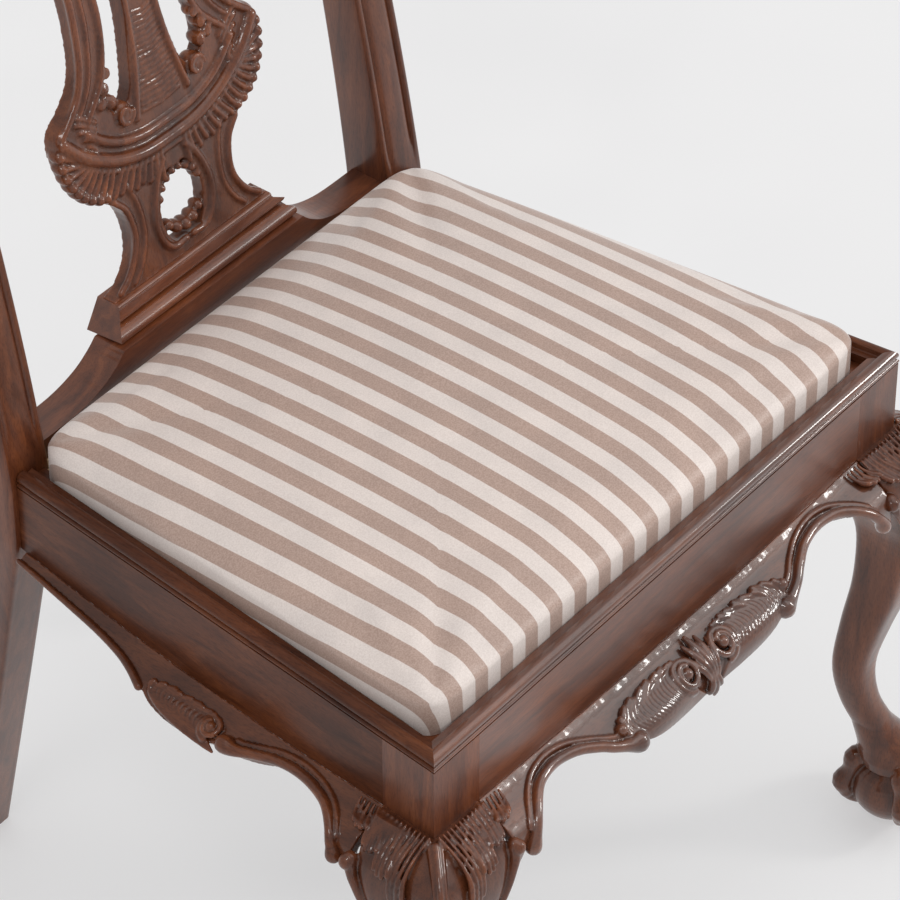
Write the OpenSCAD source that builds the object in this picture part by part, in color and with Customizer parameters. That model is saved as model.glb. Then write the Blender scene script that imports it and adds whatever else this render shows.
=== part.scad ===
// Carved side chair: cabriole front legs with ball-and-claw feet, a pierced splat
// and a drop-in upholstered seat. Millimetres, Z up, the sitter faces -Y.

/* [Seat frame] */
// Width across the outside of the front rail
seat_front_w = 536; // [480:1:600]
// Width across the outside of the side rails where they meet the back posts
seat_back_w = 448; // [400:1:480]
// Depth from the face of the front rail to the face of the back posts
seat_depth = 404; // [360:1:460]
// Height of the moulded rim above the floor
rim_top_z = 460; // [430:1:490]
// Height of the rails at their ends
rail_h = 56; // [48:1:70]
// How much deeper the rails are at mid length than at their ends
rail_belly = 10; // [0:1:14]
// Thickness of the rails
rail_t = 28; // [24:1:32]
// Height of the moulded rim strip
rim_h = 12; // [8:1:16]
// Width of the moulded rim strip
rim_w = 16; // [12:1:18]

/* [Joints] */
// Thickness of the rail tenons
tenon_t = 10; // [8:1:12]
// Length of the rail tenons
tenon_len = 24; // [16:1:28]
// Height of the rail tenons
tenon_h = 36; // [28:1:40]
// Clearance between a tenon and its mortise
joint_gap = 0.2; // [0.1:0.1:0.5]

/* [Front legs] */
// Width of the post above the knee
leg_post_w = 48; // [42:1:56]
// Radius of the ball of the foot
ball_r = 34; // [28:1:38]
// Radius of a claw toe
claw_r = 7; // [5:0.5:9]
// How far the knees and aprons stand forward of the rails
knee_out = 33; // [24:1:36]

/* [Back posts] */
// Width of a back post seen from the front
post_w = 40; // [34:1:46]
// Depth of a back post at the seat
post_d = 42; // [36:1:48]
// Depth of a back post at its top
post_top_d = 26; // [22:1:30]
// Half the distance between the back posts at the seat
post_inner_x = 190; // [170:1:196]
// Height of the top of the back posts
post_top_z = 925; // [860:1:960]
// How far the back feet rake rearwards
foot_rake = 111; // [70:1:120]
// How far the back feet turn inwards
foot_tuck = 43; // [10:1:50]

/* [Back] */
// Overall height of the chair
overall_h = 1005; // [960:1:1050]
// Half the width of the crest rail across its ears
crest_half_w = 272; // [256:1:290]
// Thickness of the crest rail
crest_t = 34; // [30:1:38]
// Thickness of the splat
splat_t = 12; // [10:1:14]
// How far the splat stands behind the faces of the back posts
splat_set_back = 20; // [14:1:22]
// Half the length of the shoe
shoe_half_w = 97; // [80:1:110]
// Height of the shoe
shoe_h = 22; // [18:1:28]
// Thickness of the back rail
back_rail_t = 28; // [24:1:32]

/* [Drop-in seat] */
// Clearance between the drop-in seat and the rim around it
seat_gap = 1; // [0.5:0.5:2]
// Clearance between the drop-in seat and the back posts
seat_back_gap = 3; // [2:1:8]
// How far back from a corner of the seat its rounding starts
seat_corner = 28; // [8:1:36]
// Thickness of the wooden seat frame
seat_frame_t = 20; // [18:1:24]
// Width of the wooden seat frame members
seat_frame_w = 50; // [40:1:60]
// Thickness of the woven cover
cover_t = 1.2; // [1:0.1:2]
// Height of the padding at its edge
pad_edge_h = 14; // [8:1:20]
// Extra height of the padding at its middle
pad_crown = 18; // [8:1:24]
// Width of the webbing strips
web_w = 50; // [40:1:60]
// How far the seat lifts when it is taken out
seat_lift = 150; // [100:1:200]

/* [Hidden] */

MAHOGANY = [0.33, 0.13, 0.07];
BEECH = [0.74, 0.57, 0.38];
eps = 1;      // how far a cutting shape runs past the face that it cuts
big = 400;    // longer than any piece that it cuts

rail_top_z = rim_top_z - rim_h;
rail_end_z = rail_top_z - rail_h;
half_front = seat_front_w / 2;
half_back = seat_back_w / 2;
taper = half_front - half_back;
side_len = sqrt(seat_depth * seat_depth + taper * taper);
side_angle = atan2(seat_depth, taper);   // direction of the left side rail in plan
slant = 90 - side_angle;

back_lean = 0.14;                         // slope of the back just above the seat
back_curve = 0.0002;                      // how fast the back leans further, per mm
foot_shift = 14;                          // foot centre outside the rail corner
crest_face = 1;                           // crest rail behind the faces of the posts
splay_z = 620;                            // height where the back posts begin to splay
top_splay = 24;                           // how far they splay at their tops

// ---- curves -----------------------------------------------------------------------

function mix(a, b, t) = a + (b - a) * t;
// One span of a smooth curve through p1 and p2, guided by its neighbours
function span(p0, p1, p2, p3, t) =
    0.5 * (2 * p1 + (p2 - p0) * t + (2 * p0 - 5 * p1 + 4 * p2 - p3) * t * t
        + (3 * p1 - p0 - 3 * p2 + p3) * t * t * t);
// A smooth open curve through the points, with n steps in each span
function smooth(pts, n) = let (last = len(pts) - 1) [
    for (i = [0:last - 1])
        for (k = [0:n - 1])
            span(pts[max(i - 1, 0)], pts[i], pts[i + 1], pts[min(i + 2, last)], k / n),
    pts[last]
];
function flipped(pts) = [for (i = [len(pts) - 1:-1:0]) [-pts[i][0], pts[i][1]]];
function backwards(pts) = [for (i = [len(pts) - 1:-1:0]) pts[i]];

// Height of the underside of a rail, at x from its middle, where half is half its length
function rail_under(x, half) =
    rail_end_z - rail_belly * (1 - min(1, pow(x / half, 2)));

// Face of the back posts: it leans back above the rails and rakes back below them
function post_face(z) = let (up = z - rail_top_z, down = (rail_end_z - z) / rail_end_z)
    seat_depth + (up > 0
        ? back_lean * up + back_curve * up * up
        : foot_rake * pow(max(0, down), 1.05));
// Inner side of the back posts: tucked in at the floor and splayed at the top
function post_inner(z) = post_inner_x
    - foot_tuck * pow(max(0, rail_end_z - z) / rail_end_z, 1.1)
    + top_splay * pow(max(0, z - splay_z) / (post_top_z - splay_z), 2);
function post_depth(z) = z > rail_top_z
    ? mix(post_d, post_top_d, (z - rail_top_z) / (post_top_z - rail_top_z))
    : mix(post_d - 6, post_d, z / rail_top_z);
function post_width(z) = z > rail_top_z
    ? mix(post_w, post_w - 6, (z - rail_top_z) / (post_top_z - rail_top_z))
    : mix(post_w - 6, post_w, z / rail_top_z);
function splat_face(z) = post_face(z) + splat_set_back;

// ---- placing ----------------------------------------------------------------------

// The origin is on the floor, midway between the front of the feet and the back
y_middle = (post_face(overall_h) + crest_face + crest_t - foot_shift - ball_r) / 2;
module placed() translate([0, -y_middle, 0]) children();

// Rail space: x runs along the outside of the rail from the front corner, y runs
// inwards from its face. The front rail's x starts at its middle.
module on_side(right) {
    placed()
    mirror([right ? 1 : 0, 0, 0])
    translate([-half_front, 0, 0])
    rotate([0, 0, side_angle])
    mirror([0, 1, 0])
    children();
}
module both(right) placed() mirror([right ? 1 : 0, 0, 0]) children();
// An outline drawn in x and z, as a board from y0 to y1
module board(y0, y1) translate([0, y1, 0]) rotate([90, 0, 0]) linear_extrude(y1 - y0) children();
// An outline drawn in y and z, as a bar from x0 to x1
module bar(x0, x1)
    translate([x0, 0, 0]) rotate([90, 0, 90]) linear_extrude(x1 - x0) children();

// ---- rails ------------------------------------------------------------------------

rail_steps = 16;
tenon_z = rail_top_z - tenon_h - 6;
tenon_inset = 11;                         // tenon face behind the rail's face

module rail_outline(x0, x1, mid, half) {
    curved = min(x1, mid + half);         // the underside is level beyond this
    under = [for (i = [0:rail_steps])
        let (x = mix(x0, curved, i / rail_steps)) [x, rail_under(x - mid, half)]];
    level = x1 > curved ? [[x1, rail_end_z]] : [];
    polygon(concat(under, level, [[x1, rail_top_z], [x0, rail_top_z]]));
}
module tenon(x0, x1, grow) {
    translate([x0, tenon_inset - grow, tenon_z - grow])
        cube([x1 - x0, tenon_t + 2 * grow, tenon_h + 2 * grow]);
}
module front_rail() color(MAHOGANY) placed() difference() {
    end = half_front - leg_post_w;
    union() {
        board(0, rail_t) rail_outline(-end, end, 0, half_front);
        for (s = [0, 1]) mirror([s, 0, 0]) tenon(end - eps, end + tenon_len, 0);
    }
    for (s = [0, 1]) mirror([s, 0, 0]) translate([-half_front, 0, 0]) rail_screws(false);
}
// Everything behind the faces of the back posts
module behind_posts() placed() translate([-big, seat_depth, 0]) cube([2 * big, big, 2 * big]);
rear_tenon_len = 12;                      // side rail into the back post
// The side rail ends square against the face of the back post
module side_rail(right) color(MAHOGANY) difference() {
    union() {
        difference() {
            on_side(right) {
                board(0, rail_t)
                    rail_outline(leg_post_w, side_len + rail_t, side_len / 2, side_len / 2);
                tenon(leg_post_w - tenon_len, leg_post_w + eps, 0);
            }
            behind_posts();
        }
        on_side(right) tenon(side_len - 8, side_len + rear_tenon_len, 0);
    }
    on_side(right) rail_screws(true);
}

back_rail_y = seat_depth + 8;
back_tenon_len = 20;
shoe_seat_z = rim_top_z + 26;
function back_rail_top() = [
    [post_inner_x, rim_top_z + 2], [150, rim_top_z + 3], [124, rim_top_z + 9],
    [108, rim_top_z + 18], [shoe_half_w + 2, shoe_seat_z]
];
module back_rail() color(MAHOGANY) placed() difference() {
    sweep_up = smooth(back_rail_top(), 5);
    union() {
        board(back_rail_y, back_rail_y + back_rail_t) polygon(concat(
            [[-post_inner_x, rail_end_z], [post_inner_x, rail_end_z]],
            sweep_up, flipped(sweep_up)));
        for (s = [0, 1]) mirror([s, 0, 0])
            back_tenon(post_inner_x - eps, post_inner_x + back_tenon_len, 0);
    }
    for (s = [0, 1]) mirror([s, 0, 0]) back_rail_screw();
}
module back_tenon(x0, x1, grow) {
    translate([x0, back_rail_y + 9 - grow, tenon_z - grow])
        cube([x1 - x0, tenon_t + 2 * grow, tenon_h + 2 * grow]);
}

// ---- moulded rim --------------------------------------------------------------------

bead_r = 2.2;
nose_r = 4;
// The rim's section: a small bead, a groove and a rounded nose above them
function rim_section() = concat(
    [[rim_w, rail_top_z]],
    [for (a = [-90:30:90])
        [1 - bead_r * 0.6 * cos(a), rail_top_z + bead_r + bead_r * sin(a)]],
    [for (a = [0:18:90])
        [1.5 + nose_r - nose_r * cos(a), rim_top_z - nose_r + nose_r * sin(a)]],
    [[rim_w, rim_top_z - 1.5]]
);
module rim_bar(x0, x1) bar(x0, x1) polygon(rim_section());
// Mitre plane between the front and the side rim, in the front rail's space
module front_of_mitre() {
    translate([-half_front, 0, 0]) rotate([0, 0, side_angle / 2 - 90])
        translate([0, -big, 0]) cube([2 * big, 3 * big, 3 * big]);
}
module seat_rim_front() color(MAHOGANY) placed() intersection() {
    rim_bar(-half_front - 9, half_front + 9);
    front_of_mitre();
    mirror([1, 0, 0]) front_of_mitre();
}
module seat_rim_side(right) color(MAHOGANY) difference() {
    on_side(right) rim_bar(-9, side_len + rail_t);
    both(right) front_of_mitre();
    behind_posts();
}

// ---- front legs ---------------------------------------------------------------------

// Outer side of the leg, ahead of the rail's face, from the knee down
function leg_outer() = smooth([
    [0, rail_end_z], [14, rail_end_z - 8], [knee_out - 6, rail_end_z - 22],
    [knee_out + 3, rail_end_z - 50], [knee_out - 1, 300], [21, 235],
    [9, 195], [2, 157], [8, 123], [foot_shift + 8, 90], [foot_shift + 14, 60]
], 3);
// Inner side of the leg, behind the rail's face
function leg_inner() = smooth([
    [leg_post_w, rail_end_z], [leg_post_w - 1, rail_end_z - 20], [39, 348], [27, 318],
    [18, 290], [19, 245], [25, 200], [29, 157], [25, 120], [14, 90], [6, 60]
], 3);
function leg_outline() = concat(
    [for (p = leg_outer()) [-p[0], p[1]]], backwards(leg_inner()));
module post_plan() polygon([
    [0, 0], [leg_post_w, 0], [leg_post_w, rail_t + 8],
    [rail_t + 8 + leg_post_w * tan(slant), leg_post_w * cos(slant)],
    [leg_post_w * sin(slant), leg_post_w * cos(slant)]
]);
module claw(angle) {
    rotate([0, 0, angle]) rotate([90, 0, 0])
        rotate_extrude(angle = 122, start = -38) translate([ball_r - 1, 0]) circle(r = claw_r);
}
module foot() {
    ball_z = ball_r - 2;
    translate([-foot_shift, -foot_shift, ball_z]) difference() {
        union() {
            sphere(r = ball_r);
            for (k = [0:3]) claw(45 + 90 * k);
        }
        translate([-big, -big, -big - ball_z]) cube([2 * big, 2 * big, big]);
    }
}
module front_leg(right) color(MAHOGANY) difference() {
    both(right) translate([-half_front, 0, 0]) difference() {
        union() {
            // the post is as wide as the leg is below it, with faces along both rails
            translate([0, 0, rail_end_z - 14]) linear_extrude(rail_h + 14) post_plan();
            intersection() {
                bar(-big, big) leg_shape();
                board(-big, big) leg_shape();
            }
            foot();
        }
        tenon(leg_post_w - tenon_len - eps, big, joint_gap);
    }
    on_side(right) {
        tenon(leg_post_w - tenon_len - eps, big, joint_gap);
        // the leg ends where the side rail and its knee block begin
        translate([leg_post_w, -big / 2, rail_end_z - 90]) cube([big, big, big]);
    }
}
module leg_shape() polygon(leg_outline());

// ---- aprons and knee blocks ---------------------------------------------------------

// Section of the carved apron: it flares from under the rail and turns down
function flare() = smooth([
    [0, 0], [-6, -5], [-13, -9], [-20, -12], [-26, -16],
    [2 - knee_out, -22], [-knee_out, -32], [-knee_out, -70]
], 2);
module apron_bar(x0, x1, rise) translate([0, 0, rise]) bar(x0, x1) polygon(concat(
    flare(), [[-8, -70], [-8, -30], [20, -22], [20, 0]]));
// The flare from x0 to x1 in short lengths, each under its own stretch of the rail's
// curved underside, joined by a core that is flush with the rail
module flared_board(x0, x1, mid, half) {
    step = (x1 - x0) / 16;
    for (i = [0:15]) let (x = x0 + i * step)
        apron_bar(x, x + step, rail_under(x + step / 2 - mid, half));
    translate([x0, -1, rail_end_z - 40]) cube([x1 - x0, 21, 40]);
}
apron_end = 186;                          // half the length of the front apron
side_apron_start = 82;
block_gap = 0.1;                          // glue line over and beside the carved pieces

// Lower edge of half of the front apron, from its middle outwards
function front_apron_edge() = smooth([
    [0, rail_end_z - 40], [14, rail_end_z - 36], [34, rail_end_z - 37], [56, rail_end_z - 35],
    [80, rail_end_z - 29], [96, rail_end_z - 26], [108, rail_end_z - 29], [118, rail_end_z - 24],
    [134, rail_end_z - 18], [152, rail_end_z - 17], [170, rail_end_z - 18],
    [apron_end, rail_end_z - 24]
], 3);
module front_apron_outline() {
    edge = front_apron_edge();
    top = [for (i = [-8:8]) let (x = apron_end * i / 8)
        [-x, rail_under(x, half_front) - block_gap]];
    polygon(concat(flipped(edge), edge, top));
}
module apron_front() color(MAHOGANY) placed() intersection() {
    board(-60, 30) front_apron_outline();
    flared_board(-apron_end, apron_end, 0, half_front);
}
// Lower edge of a side apron, from the knee to the back post
function side_apron_edge() = smooth([
    [side_apron_start, rail_end_z - 25], [100, rail_end_z - 18], [124, rail_end_z - 16],
    [150, rail_end_z - 19], [170, rail_end_z - 23], [184, rail_end_z - 23],
    [210, rail_end_z - 26], [240, rail_end_z - 25], [262, rail_end_z - 22],
    [290, rail_end_z - 15], [330, rail_end_z - 10], [372, rail_end_z - 8],
    [side_len - 4, rail_end_z - 7]
], 2);
module apron_side(right) color(MAHOGANY) on_side(right) intersection() {
    mid = side_len / 2;
    end = side_len - 4;
    board(-60, 30) polygon(concat(
        side_apron_edge(),
        [for (i = [16:-1:0]) let (x = mix(side_apron_start, end, i / 16))
            [x, rail_under(x - mid, mid) - block_gap]]));
    flared_board(side_apron_start, end, mid, mid);
}
// A block that fills the knee between the leg and the apron, in a rail's space
module knee_block(x0, x1, mid, half) intersection() {
    board(-60, 30) polygon(concat(
        smooth([[x0, rail_end_z - 66], [x0 + 6, rail_end_z - 46], [mix(x0, x1, 0.5),
            rail_end_z - 34], [x1, rail_end_z - 24]], 4),
        [for (i = [3:-1:0]) let (x = mix(x0, x1, i / 3))
            [x, rail_under(x - mid, half) - block_gap]]));
    translate([0, 0, rail_under(x1 - mid, half)])
        bar(x0, x1) polygon(concat(flare(), [[4, -70], [16, -30], [20, 0]]));
}
module knee_block_front(right) color(MAHOGANY) both(right) translate([-half_front, 0, 0])
    knee_block(leg_post_w + block_gap, half_front - apron_end - block_gap, half_front, half_front);
module knee_block_side(right) color(MAHOGANY) on_side(right)
    knee_block(leg_post_w + block_gap, side_apron_start - block_gap, side_len / 2, side_len / 2);

// ---- back ---------------------------------------------------------------------------

// Heights that shape a back post; it is straight between the ends of the rails
post_levels = concat(
    [for (i = [0:9]) rail_end_z * i / 10], [rail_end_z],
    [for (i = [0:14]) mix(rail_top_z, post_top_z, i / 14)]);
post_tenon_h = 22;
module back_post(right) color(MAHOGANY) difference() {
    both(right) {
        intersection() {
            bar(-big, 0) polygon(concat(
                [for (z = post_levels) [post_face(z), z]],
                backwards([for (z = post_levels) [post_face(z) + post_depth(z), z]])));
            board(0, 2 * big) polygon(concat(
                [for (z = post_levels) [-post_inner(z), z]],
                backwards([for (z = post_levels) [-post_inner(z) - post_width(z), z]])));
        }
        post_tenon(0);
    }
    placed() mirror([right ? 0 : 1, 0, 0])
        back_tenon(post_inner_x - eps, post_inner_x + back_tenon_len + eps, joint_gap);
    on_side(right) tenon(side_len - 8, side_len + rear_tenon_len + eps, joint_gap);
}
// The tenon on top of a back post, which enters the crest rail
module post_tenon(grow) {
    translate([-post_inner(post_top_z) - post_width(post_top_z) + 8 - grow,
        post_face(post_top_z) + 8 - grow, post_top_z - eps])
        cube([post_width(post_top_z) - 16 + 2 * grow, 12 + 2 * grow,
            post_tenon_h + eps + grow]);
}

crest_z = post_top_z;
// Upper edge of half of the crest rail, from the middle to the ear
function crest_upper() = smooth([
    [0, overall_h], [30, overall_h - 3], [64, overall_h - 14], [110, overall_h - 26],
    [160, overall_h - 22], [210, overall_h - 10], [248, overall_h - 8],
    [crest_half_w - 4, overall_h - 20], [crest_half_w, overall_h - 34]
], 3);
function crest_lower() = concat([[0, splat_top_z]], smooth([
    [82, splat_top_z], [112, crest_z + 8], [160, crest_z + 12],
    [196, crest_z + 3], [212, crest_z]
], 3));
module crest_rail() color(MAHOGANY) placed() difference() {
    upper = crest_upper();
    lower = crest_lower();
    ear = [[post_inner(crest_z) + post_width(crest_z), crest_z], [crest_half_w - 12, crest_z + 12]];
    intersection() {
        board(0, 2 * big) polygon(concat(
            upper, [ear[1], ear[0]], backwards(lower),
            [for (i = [1:len(lower) - 1]) [-lower[i][0], lower[i][1]]],
            [[-ear[0][0], ear[0][1]], [-ear[1][0], ear[1][1]]],
            flipped([for (i = [1:len(upper) - 1]) upper[i]])));
        bar(-big, big) polygon(concat(
            [for (i = [0:6]) let (z = mix(crest_z - 10, overall_h + 1, i / 6))
                [post_face(z) + crest_face, z]],
            [for (i = [6:-1:0]) let (z = mix(crest_z - 10, overall_h + 1, i / 6))
                [post_face(z) + crest_face + crest_t, z]]));
    }
    for (s = [0, 1]) mirror([s, 0, 0]) post_tenon(joint_gap);
    splat_tongue(splat_top_z, 0, tongue + eps, joint_gap);
}

splat_top_z = crest_z - 2;
shoe_top_z = shoe_seat_z + shoe_h;
tongue = 14;                              // length of the splat's end tongues
tongue_w = 48;
// A tongue at this end of the splat, from below it to above it
module splat_tongue(end_z, below, above, grow)
    translate([-tongue_w / 2 - grow, splat_face(end_z) + 2 - grow, end_z - below - eps])
        cube([tongue_w + 2 * grow, splat_t - 4 + 2 * grow, below + above + 2 * eps]);

// Outer edge of half of the splat, upwards from the shoe
function splat_edge() = smooth([
    [84, shoe_top_z], [70, shoe_top_z + 6], [58, 528], [54, 548], [60, 572], [78, 588],
    [96, 602], [105, 628], [104, 650], [88, 662], [74, 676], [67, 700], [65, 740],
    [70, 790], [80, 840], [88, 880], [86, 905], [78, splat_top_z]
], 4);
// The tall opening beside the middle strap, on the +X side
function strap_opening() = smooth([
    [50, 668], [40, 700], [38, 740], [42, 790], [52, 840], [58, 868], [50, 884], [36, 876],
    [24, 840], [17, 790], [15, 740], [17, 700], [22, 668], [27, 648], [37, 638], [48, 646],
    [50, 668]
], 3);
function low_opening() = smooth([
    [0, 519], [13, 520], [21, 534], [22, 552], [17, 568], [8, 577], [0, 576]
], 3);
module splat() color(MAHOGANY) placed() {
    edge = splat_edge();
    hole = low_opening();
    intersection() {
        board(0, 2 * big) difference() {
            polygon(concat(edge, flipped(edge)));
            polygon(strap_opening());
            polygon(flipped(strap_opening()));
            polygon(concat(hole, flipped(hole)));
        }
        bar(-big, big) polygon(concat(
            [for (i = [0:14]) let (z = mix(shoe_top_z, splat_top_z, i / 14)) [splat_face(z), z]],
            [for (i = [14:-1:0]) let (z = mix(shoe_top_z, splat_top_z, i / 14))
                [splat_face(z) + splat_t, z]]));
    }
    splat_tongue(shoe_top_z, tongue - eps, 0, 0);
    splat_tongue(splat_top_z, 0, tongue - eps, 0);
}

// The shoe's front section: bullnose, fillet, cavetto and a top fillet
shoe_front_y = back_rail_y + 4;
shoe_step = 10;                           // height of the bullnose
shoe_back_y = splat_face(shoe_top_z) + splat_t + 4;
function shoe_section() = concat(
    [[shoe_back_y, shoe_seat_z]],
    [for (a = [-90:22.5:90])
        [shoe_front_y + 5 - 4.5 * cos(a), shoe_seat_z + shoe_step * (0.5 + 0.5 * sin(a))]],
    [for (a = [0:22.5:90])
        [shoe_front_y + 12 - 6 * cos(a), mix(shoe_seat_z + shoe_step + 1, shoe_top_z - 4, 1 - cos(a))]],
    [[shoe_front_y + 13, shoe_top_z], [shoe_back_y, shoe_top_z]]
);
module shoe() color(MAHOGANY) placed() difference() {
    intersection() {
        bar(-shoe_half_w, shoe_half_w) polygon(shoe_section());
        board(0, 2 * big) polygon([
            [-shoe_half_w, shoe_seat_z], [shoe_half_w, shoe_seat_z],
            [shoe_half_w, shoe_seat_z + shoe_step], [shoe_half_w - 12, shoe_top_z],
            [12 - shoe_half_w, shoe_top_z], [-shoe_half_w, shoe_seat_z + shoe_step]
        ]);
    }
    splat_tongue(shoe_top_z, tongue, eps, joint_gap);
}

// ---- corner blocks ------------------------------------------------------------------

block_h = 30;
block_z = rail_top_z - 4 - block_h;
block_reach = 96;                         // along the front rail from the corner
screw_z = block_z + block_h / 2;
screw_r = 2.2;
screw_head_r = 4.4;
screw_head_y = rail_t + 18;               // head below the face of the block
screw_depth = 14;                         // how far the screw bites into a rail
screw_at = 84;                            // front screws, from the corner of the frame
side_screw_at = side_len - 34;
back_screw_x = post_inner_x - 32;

// A countersunk screw from its head at the origin, along -Y
module screw(long, grow) rotate([90, 0, 0]) {
    cylinder(r = screw_r + grow, h = long + grow, $fn = 24);
    cylinder(r1 = screw_head_r + grow, r2 = screw_r + grow, h = screw_head_r - screw_r, $fn = 24);
}
// The bore that lets a screw's head down into a block
module head_bore() rotate([-90, 0, 0]) translate([0, 0, -0.01])
    cylinder(r = screw_head_r + 0.4, h = 60, $fn = 24);
// The screws of one rail, in that rail's space, from its front corner
module rail_screws(side, grow = 0, bore = false)
    for (x = side ? [screw_at, side_screw_at] : [screw_at])
        translate([x, screw_head_y, screw_z]) {
            screw(screw_head_y - screw_depth, grow);
            if (bore) head_bore();
        }
module back_rail_screw(grow = 0, bore = false)
    translate([-back_screw_x, back_rail_y - 18, screw_z]) rotate([0, 0, 180]) {
        screw(18 + screw_depth, grow);
        if (bore) head_bore();
    }
// Every screw of one side of the chair
module side_screws(right, grow = 0, bore = false) {
    both(right) translate([-half_front, 0, 0]) rail_screws(false, grow, bore);
    both(right) back_rail_screw(grow, bore);
    on_side(right) rail_screws(true, grow, bore);
}
module corner_block_screws() color([0.55, 0.5, 0.42]) for (right = [false, true])
    side_screws(right);

// Room for the side rail beside a corner block
module side_rail_room(right) on_side(right) translate([-big, -big, 0])
    cube([3 * big, big + rail_t, 2 * big]);
module front_block_plan() polygon([
    [leg_post_w + 2, rail_t], [block_reach, rail_t], [block_reach + 6, rail_t + 8],
    [rail_t + 14, block_reach + 6], [rail_t - 6, block_reach], [rail_t - 6, leg_post_w + 6],
    [rail_t + 10, leg_post_w + 6], [leg_post_w + 2, leg_post_w - 6]
]);
module corner_block_front(right) color(BEECH) difference() {
    both(right) translate([-half_front, 0, block_z]) linear_extrude(block_h) front_block_plan();
    side_rail_room(right);
    side_screws(right, 0, true);
}
block_side_x = half_back - rail_t - 6;    // just inside the side rail at the back
module corner_block_back(right) color(BEECH) difference() {
    both(right) translate([0, 0, block_z]) linear_extrude(block_h) polygon([
        [-post_inner_x, back_rail_y], [-post_inner_x + 52, back_rail_y],
        [-post_inner_x + 46, back_rail_y - 12], [-block_side_x, back_rail_y - 66],
        [-block_side_x - 24, back_rail_y - 70], [-block_side_x - 24, seat_depth],
        [-post_inner_x, seat_depth]
    ]);
    side_rail_room(right);
    side_screws(right, 0, true);
}

// ---- drop-in seat -------------------------------------------------------------------

seat_z = rail_top_z;                      // the seat rests on top of the rails
seat_inset = rim_w + seat_gap;
seat_rear = seat_depth - seat_back_gap;
frame_z = seat_z + cover_t;
pad_z = frame_z + seat_frame_t + 3;       // above the webbing and the hessian
hem_w = 22;                               // cover turned under the frame
layer_gap = 0.1;

// Half the seat's width at y, this far inside the rail's face
function seat_half(y, inset) = half_front - y * taper / seat_depth - inset / cos(slant);
// A corner at p rounded off between the directions a and b
function rounded(p, a, b) = [for (k = [0:6]) let (u = k / 6)
    p + seat_corner * (pow(1 - u, 2) * a + u * u * b)];
module seat_plan(inset) {
    front = seat_inset + inset;
    rear = seat_rear - inset;
    side = [-sin(slant), cos(slant)];         // along the right side, to the rear
    right = concat(
        rounded([seat_half(front, front), front], [-1, 0], side),
        rounded([seat_half(rear, front), rear], -side, [-1, 0]));
    polygon(concat(right, backwards([for (p = right) [-p[0], p[1]]])));
}
dome_r = (pow(half_front, 2) + pow(pad_crown, 2)) / (2 * pad_crown);
// A crowned block over the seat's plan, its top a shallow dome
module crowned(inset, z0, rise) intersection() {
    translate([0, 0, z0]) linear_extrude(big) seat_plan(inset);
    translate([0, seat_depth / 2, pad_z + pad_edge_h + pad_crown + rise - dome_r])
        sphere(r = dome_r, $fn = 400);
}
module seat_cover() color([0.85, 0.8, 0.75]) placed() difference() {
    crowned(0, seat_z, cover_t);
    difference() {
        crowned(cover_t, seat_z - eps, 0);
        // the hem under the frame stays
        translate([0, 0, seat_z - 2]) linear_extrude(2 + cover_t) difference() {
            seat_plan(-1);
            seat_plan(hem_w);
        }
    }
}
module seat_pad() color([0.93, 0.9, 0.8]) placed()
    crowned(cover_t + layer_gap, pad_z, -layer_gap);

module seat_frame_bar(y0, y1) placed() translate([0, 0, frame_z]) linear_extrude(seat_frame_t)
    intersection() {
        seat_plan(cover_t + layer_gap);
        translate([-big, y0]) square([2 * big, y1 - y0]);
    }
frame_front_y = seat_inset + seat_frame_w;
frame_rear_y = seat_rear - seat_frame_w;
module seat_frame_front() color(BEECH) seat_frame_bar(0, frame_front_y);
module seat_frame_back() color(BEECH) seat_frame_bar(frame_rear_y, seat_depth);
module seat_frame_side(right) color(BEECH) both(right)
    translate([0, 0, frame_z]) linear_extrude(seat_frame_t)
    intersection() {
        difference() {
            seat_plan(cover_t + layer_gap);
            seat_plan_inside_frame();
        }
        translate([-big, frame_front_y]) square([big, frame_rear_y - frame_front_y]);
    }
module seat_plan_inside_frame() polygon([
    [-seat_half(0, seat_inset + seat_frame_w), 0],
    [seat_half(0, seat_inset + seat_frame_w), 0],
    [seat_half(seat_depth, seat_inset + seat_frame_w), seat_depth],
    [-seat_half(seat_depth, seat_inset + seat_frame_w), seat_depth]
]);
web_t = 1.2;
web_z = frame_z + seat_frame_t;
// Three strips run front to back, and three cross over them
module seat_webbing() color([0.6, 0.5, 0.36]) placed() {
    translate([0, 0, web_z]) linear_extrude(web_t) for (k = [-1:1])
        translate([k * 100 - web_w / 2, seat_inset + 12])
            square([web_w, seat_rear - seat_inset - 24]);
    for (k = [0:2]) translate([0, 0, web_z + web_t]) linear_extrude(web_t) intersection() {
        seat_plan(12);
        translate([-big, 110 + 92 * k - web_w / 2]) square([2 * big, web_w]);
    }
}
module seat_hessian() color([0.66, 0.55, 0.38]) placed()
    translate([0, 0, web_z + 2 * web_t]) linear_extrude(0.5) seat_plan(8);
module seat_dust_cover() color([0.12, 0.12, 0.12]) placed()
    translate([0, 0, seat_z + 0.4]) linear_extrude(0.6) difference() {
        seat_plan(hem_w + 1);
        for (p = tack_places()) translate(p) circle(r = tack_r + 0.1, $fn = 24);
    }
tack_r = 1;
function tack_places() = [
    for (k = [-4:4]) [k * 48, seat_inset + hem_w + 8],
    for (k = [-3:3]) [k * 50, seat_rear - hem_w - 8],
    for (s = [-1, 1]) for (k = [1:5]) let (y = 40 + 58 * k)
        [s * (seat_half(y, seat_inset) - hem_w - 9), y]
];
module seat_tacks() color([0.2, 0.2, 0.22]) placed() for (p = tack_places())
    translate([p[0], p[1], seat_z]) {
        cylinder(r = 2.6, h = 0.3, $fn = 16);
        cylinder(r = tack_r, h = cover_t, $fn = 16);
    }

// ---- the chair ----------------------------------------------------------------------

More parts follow.
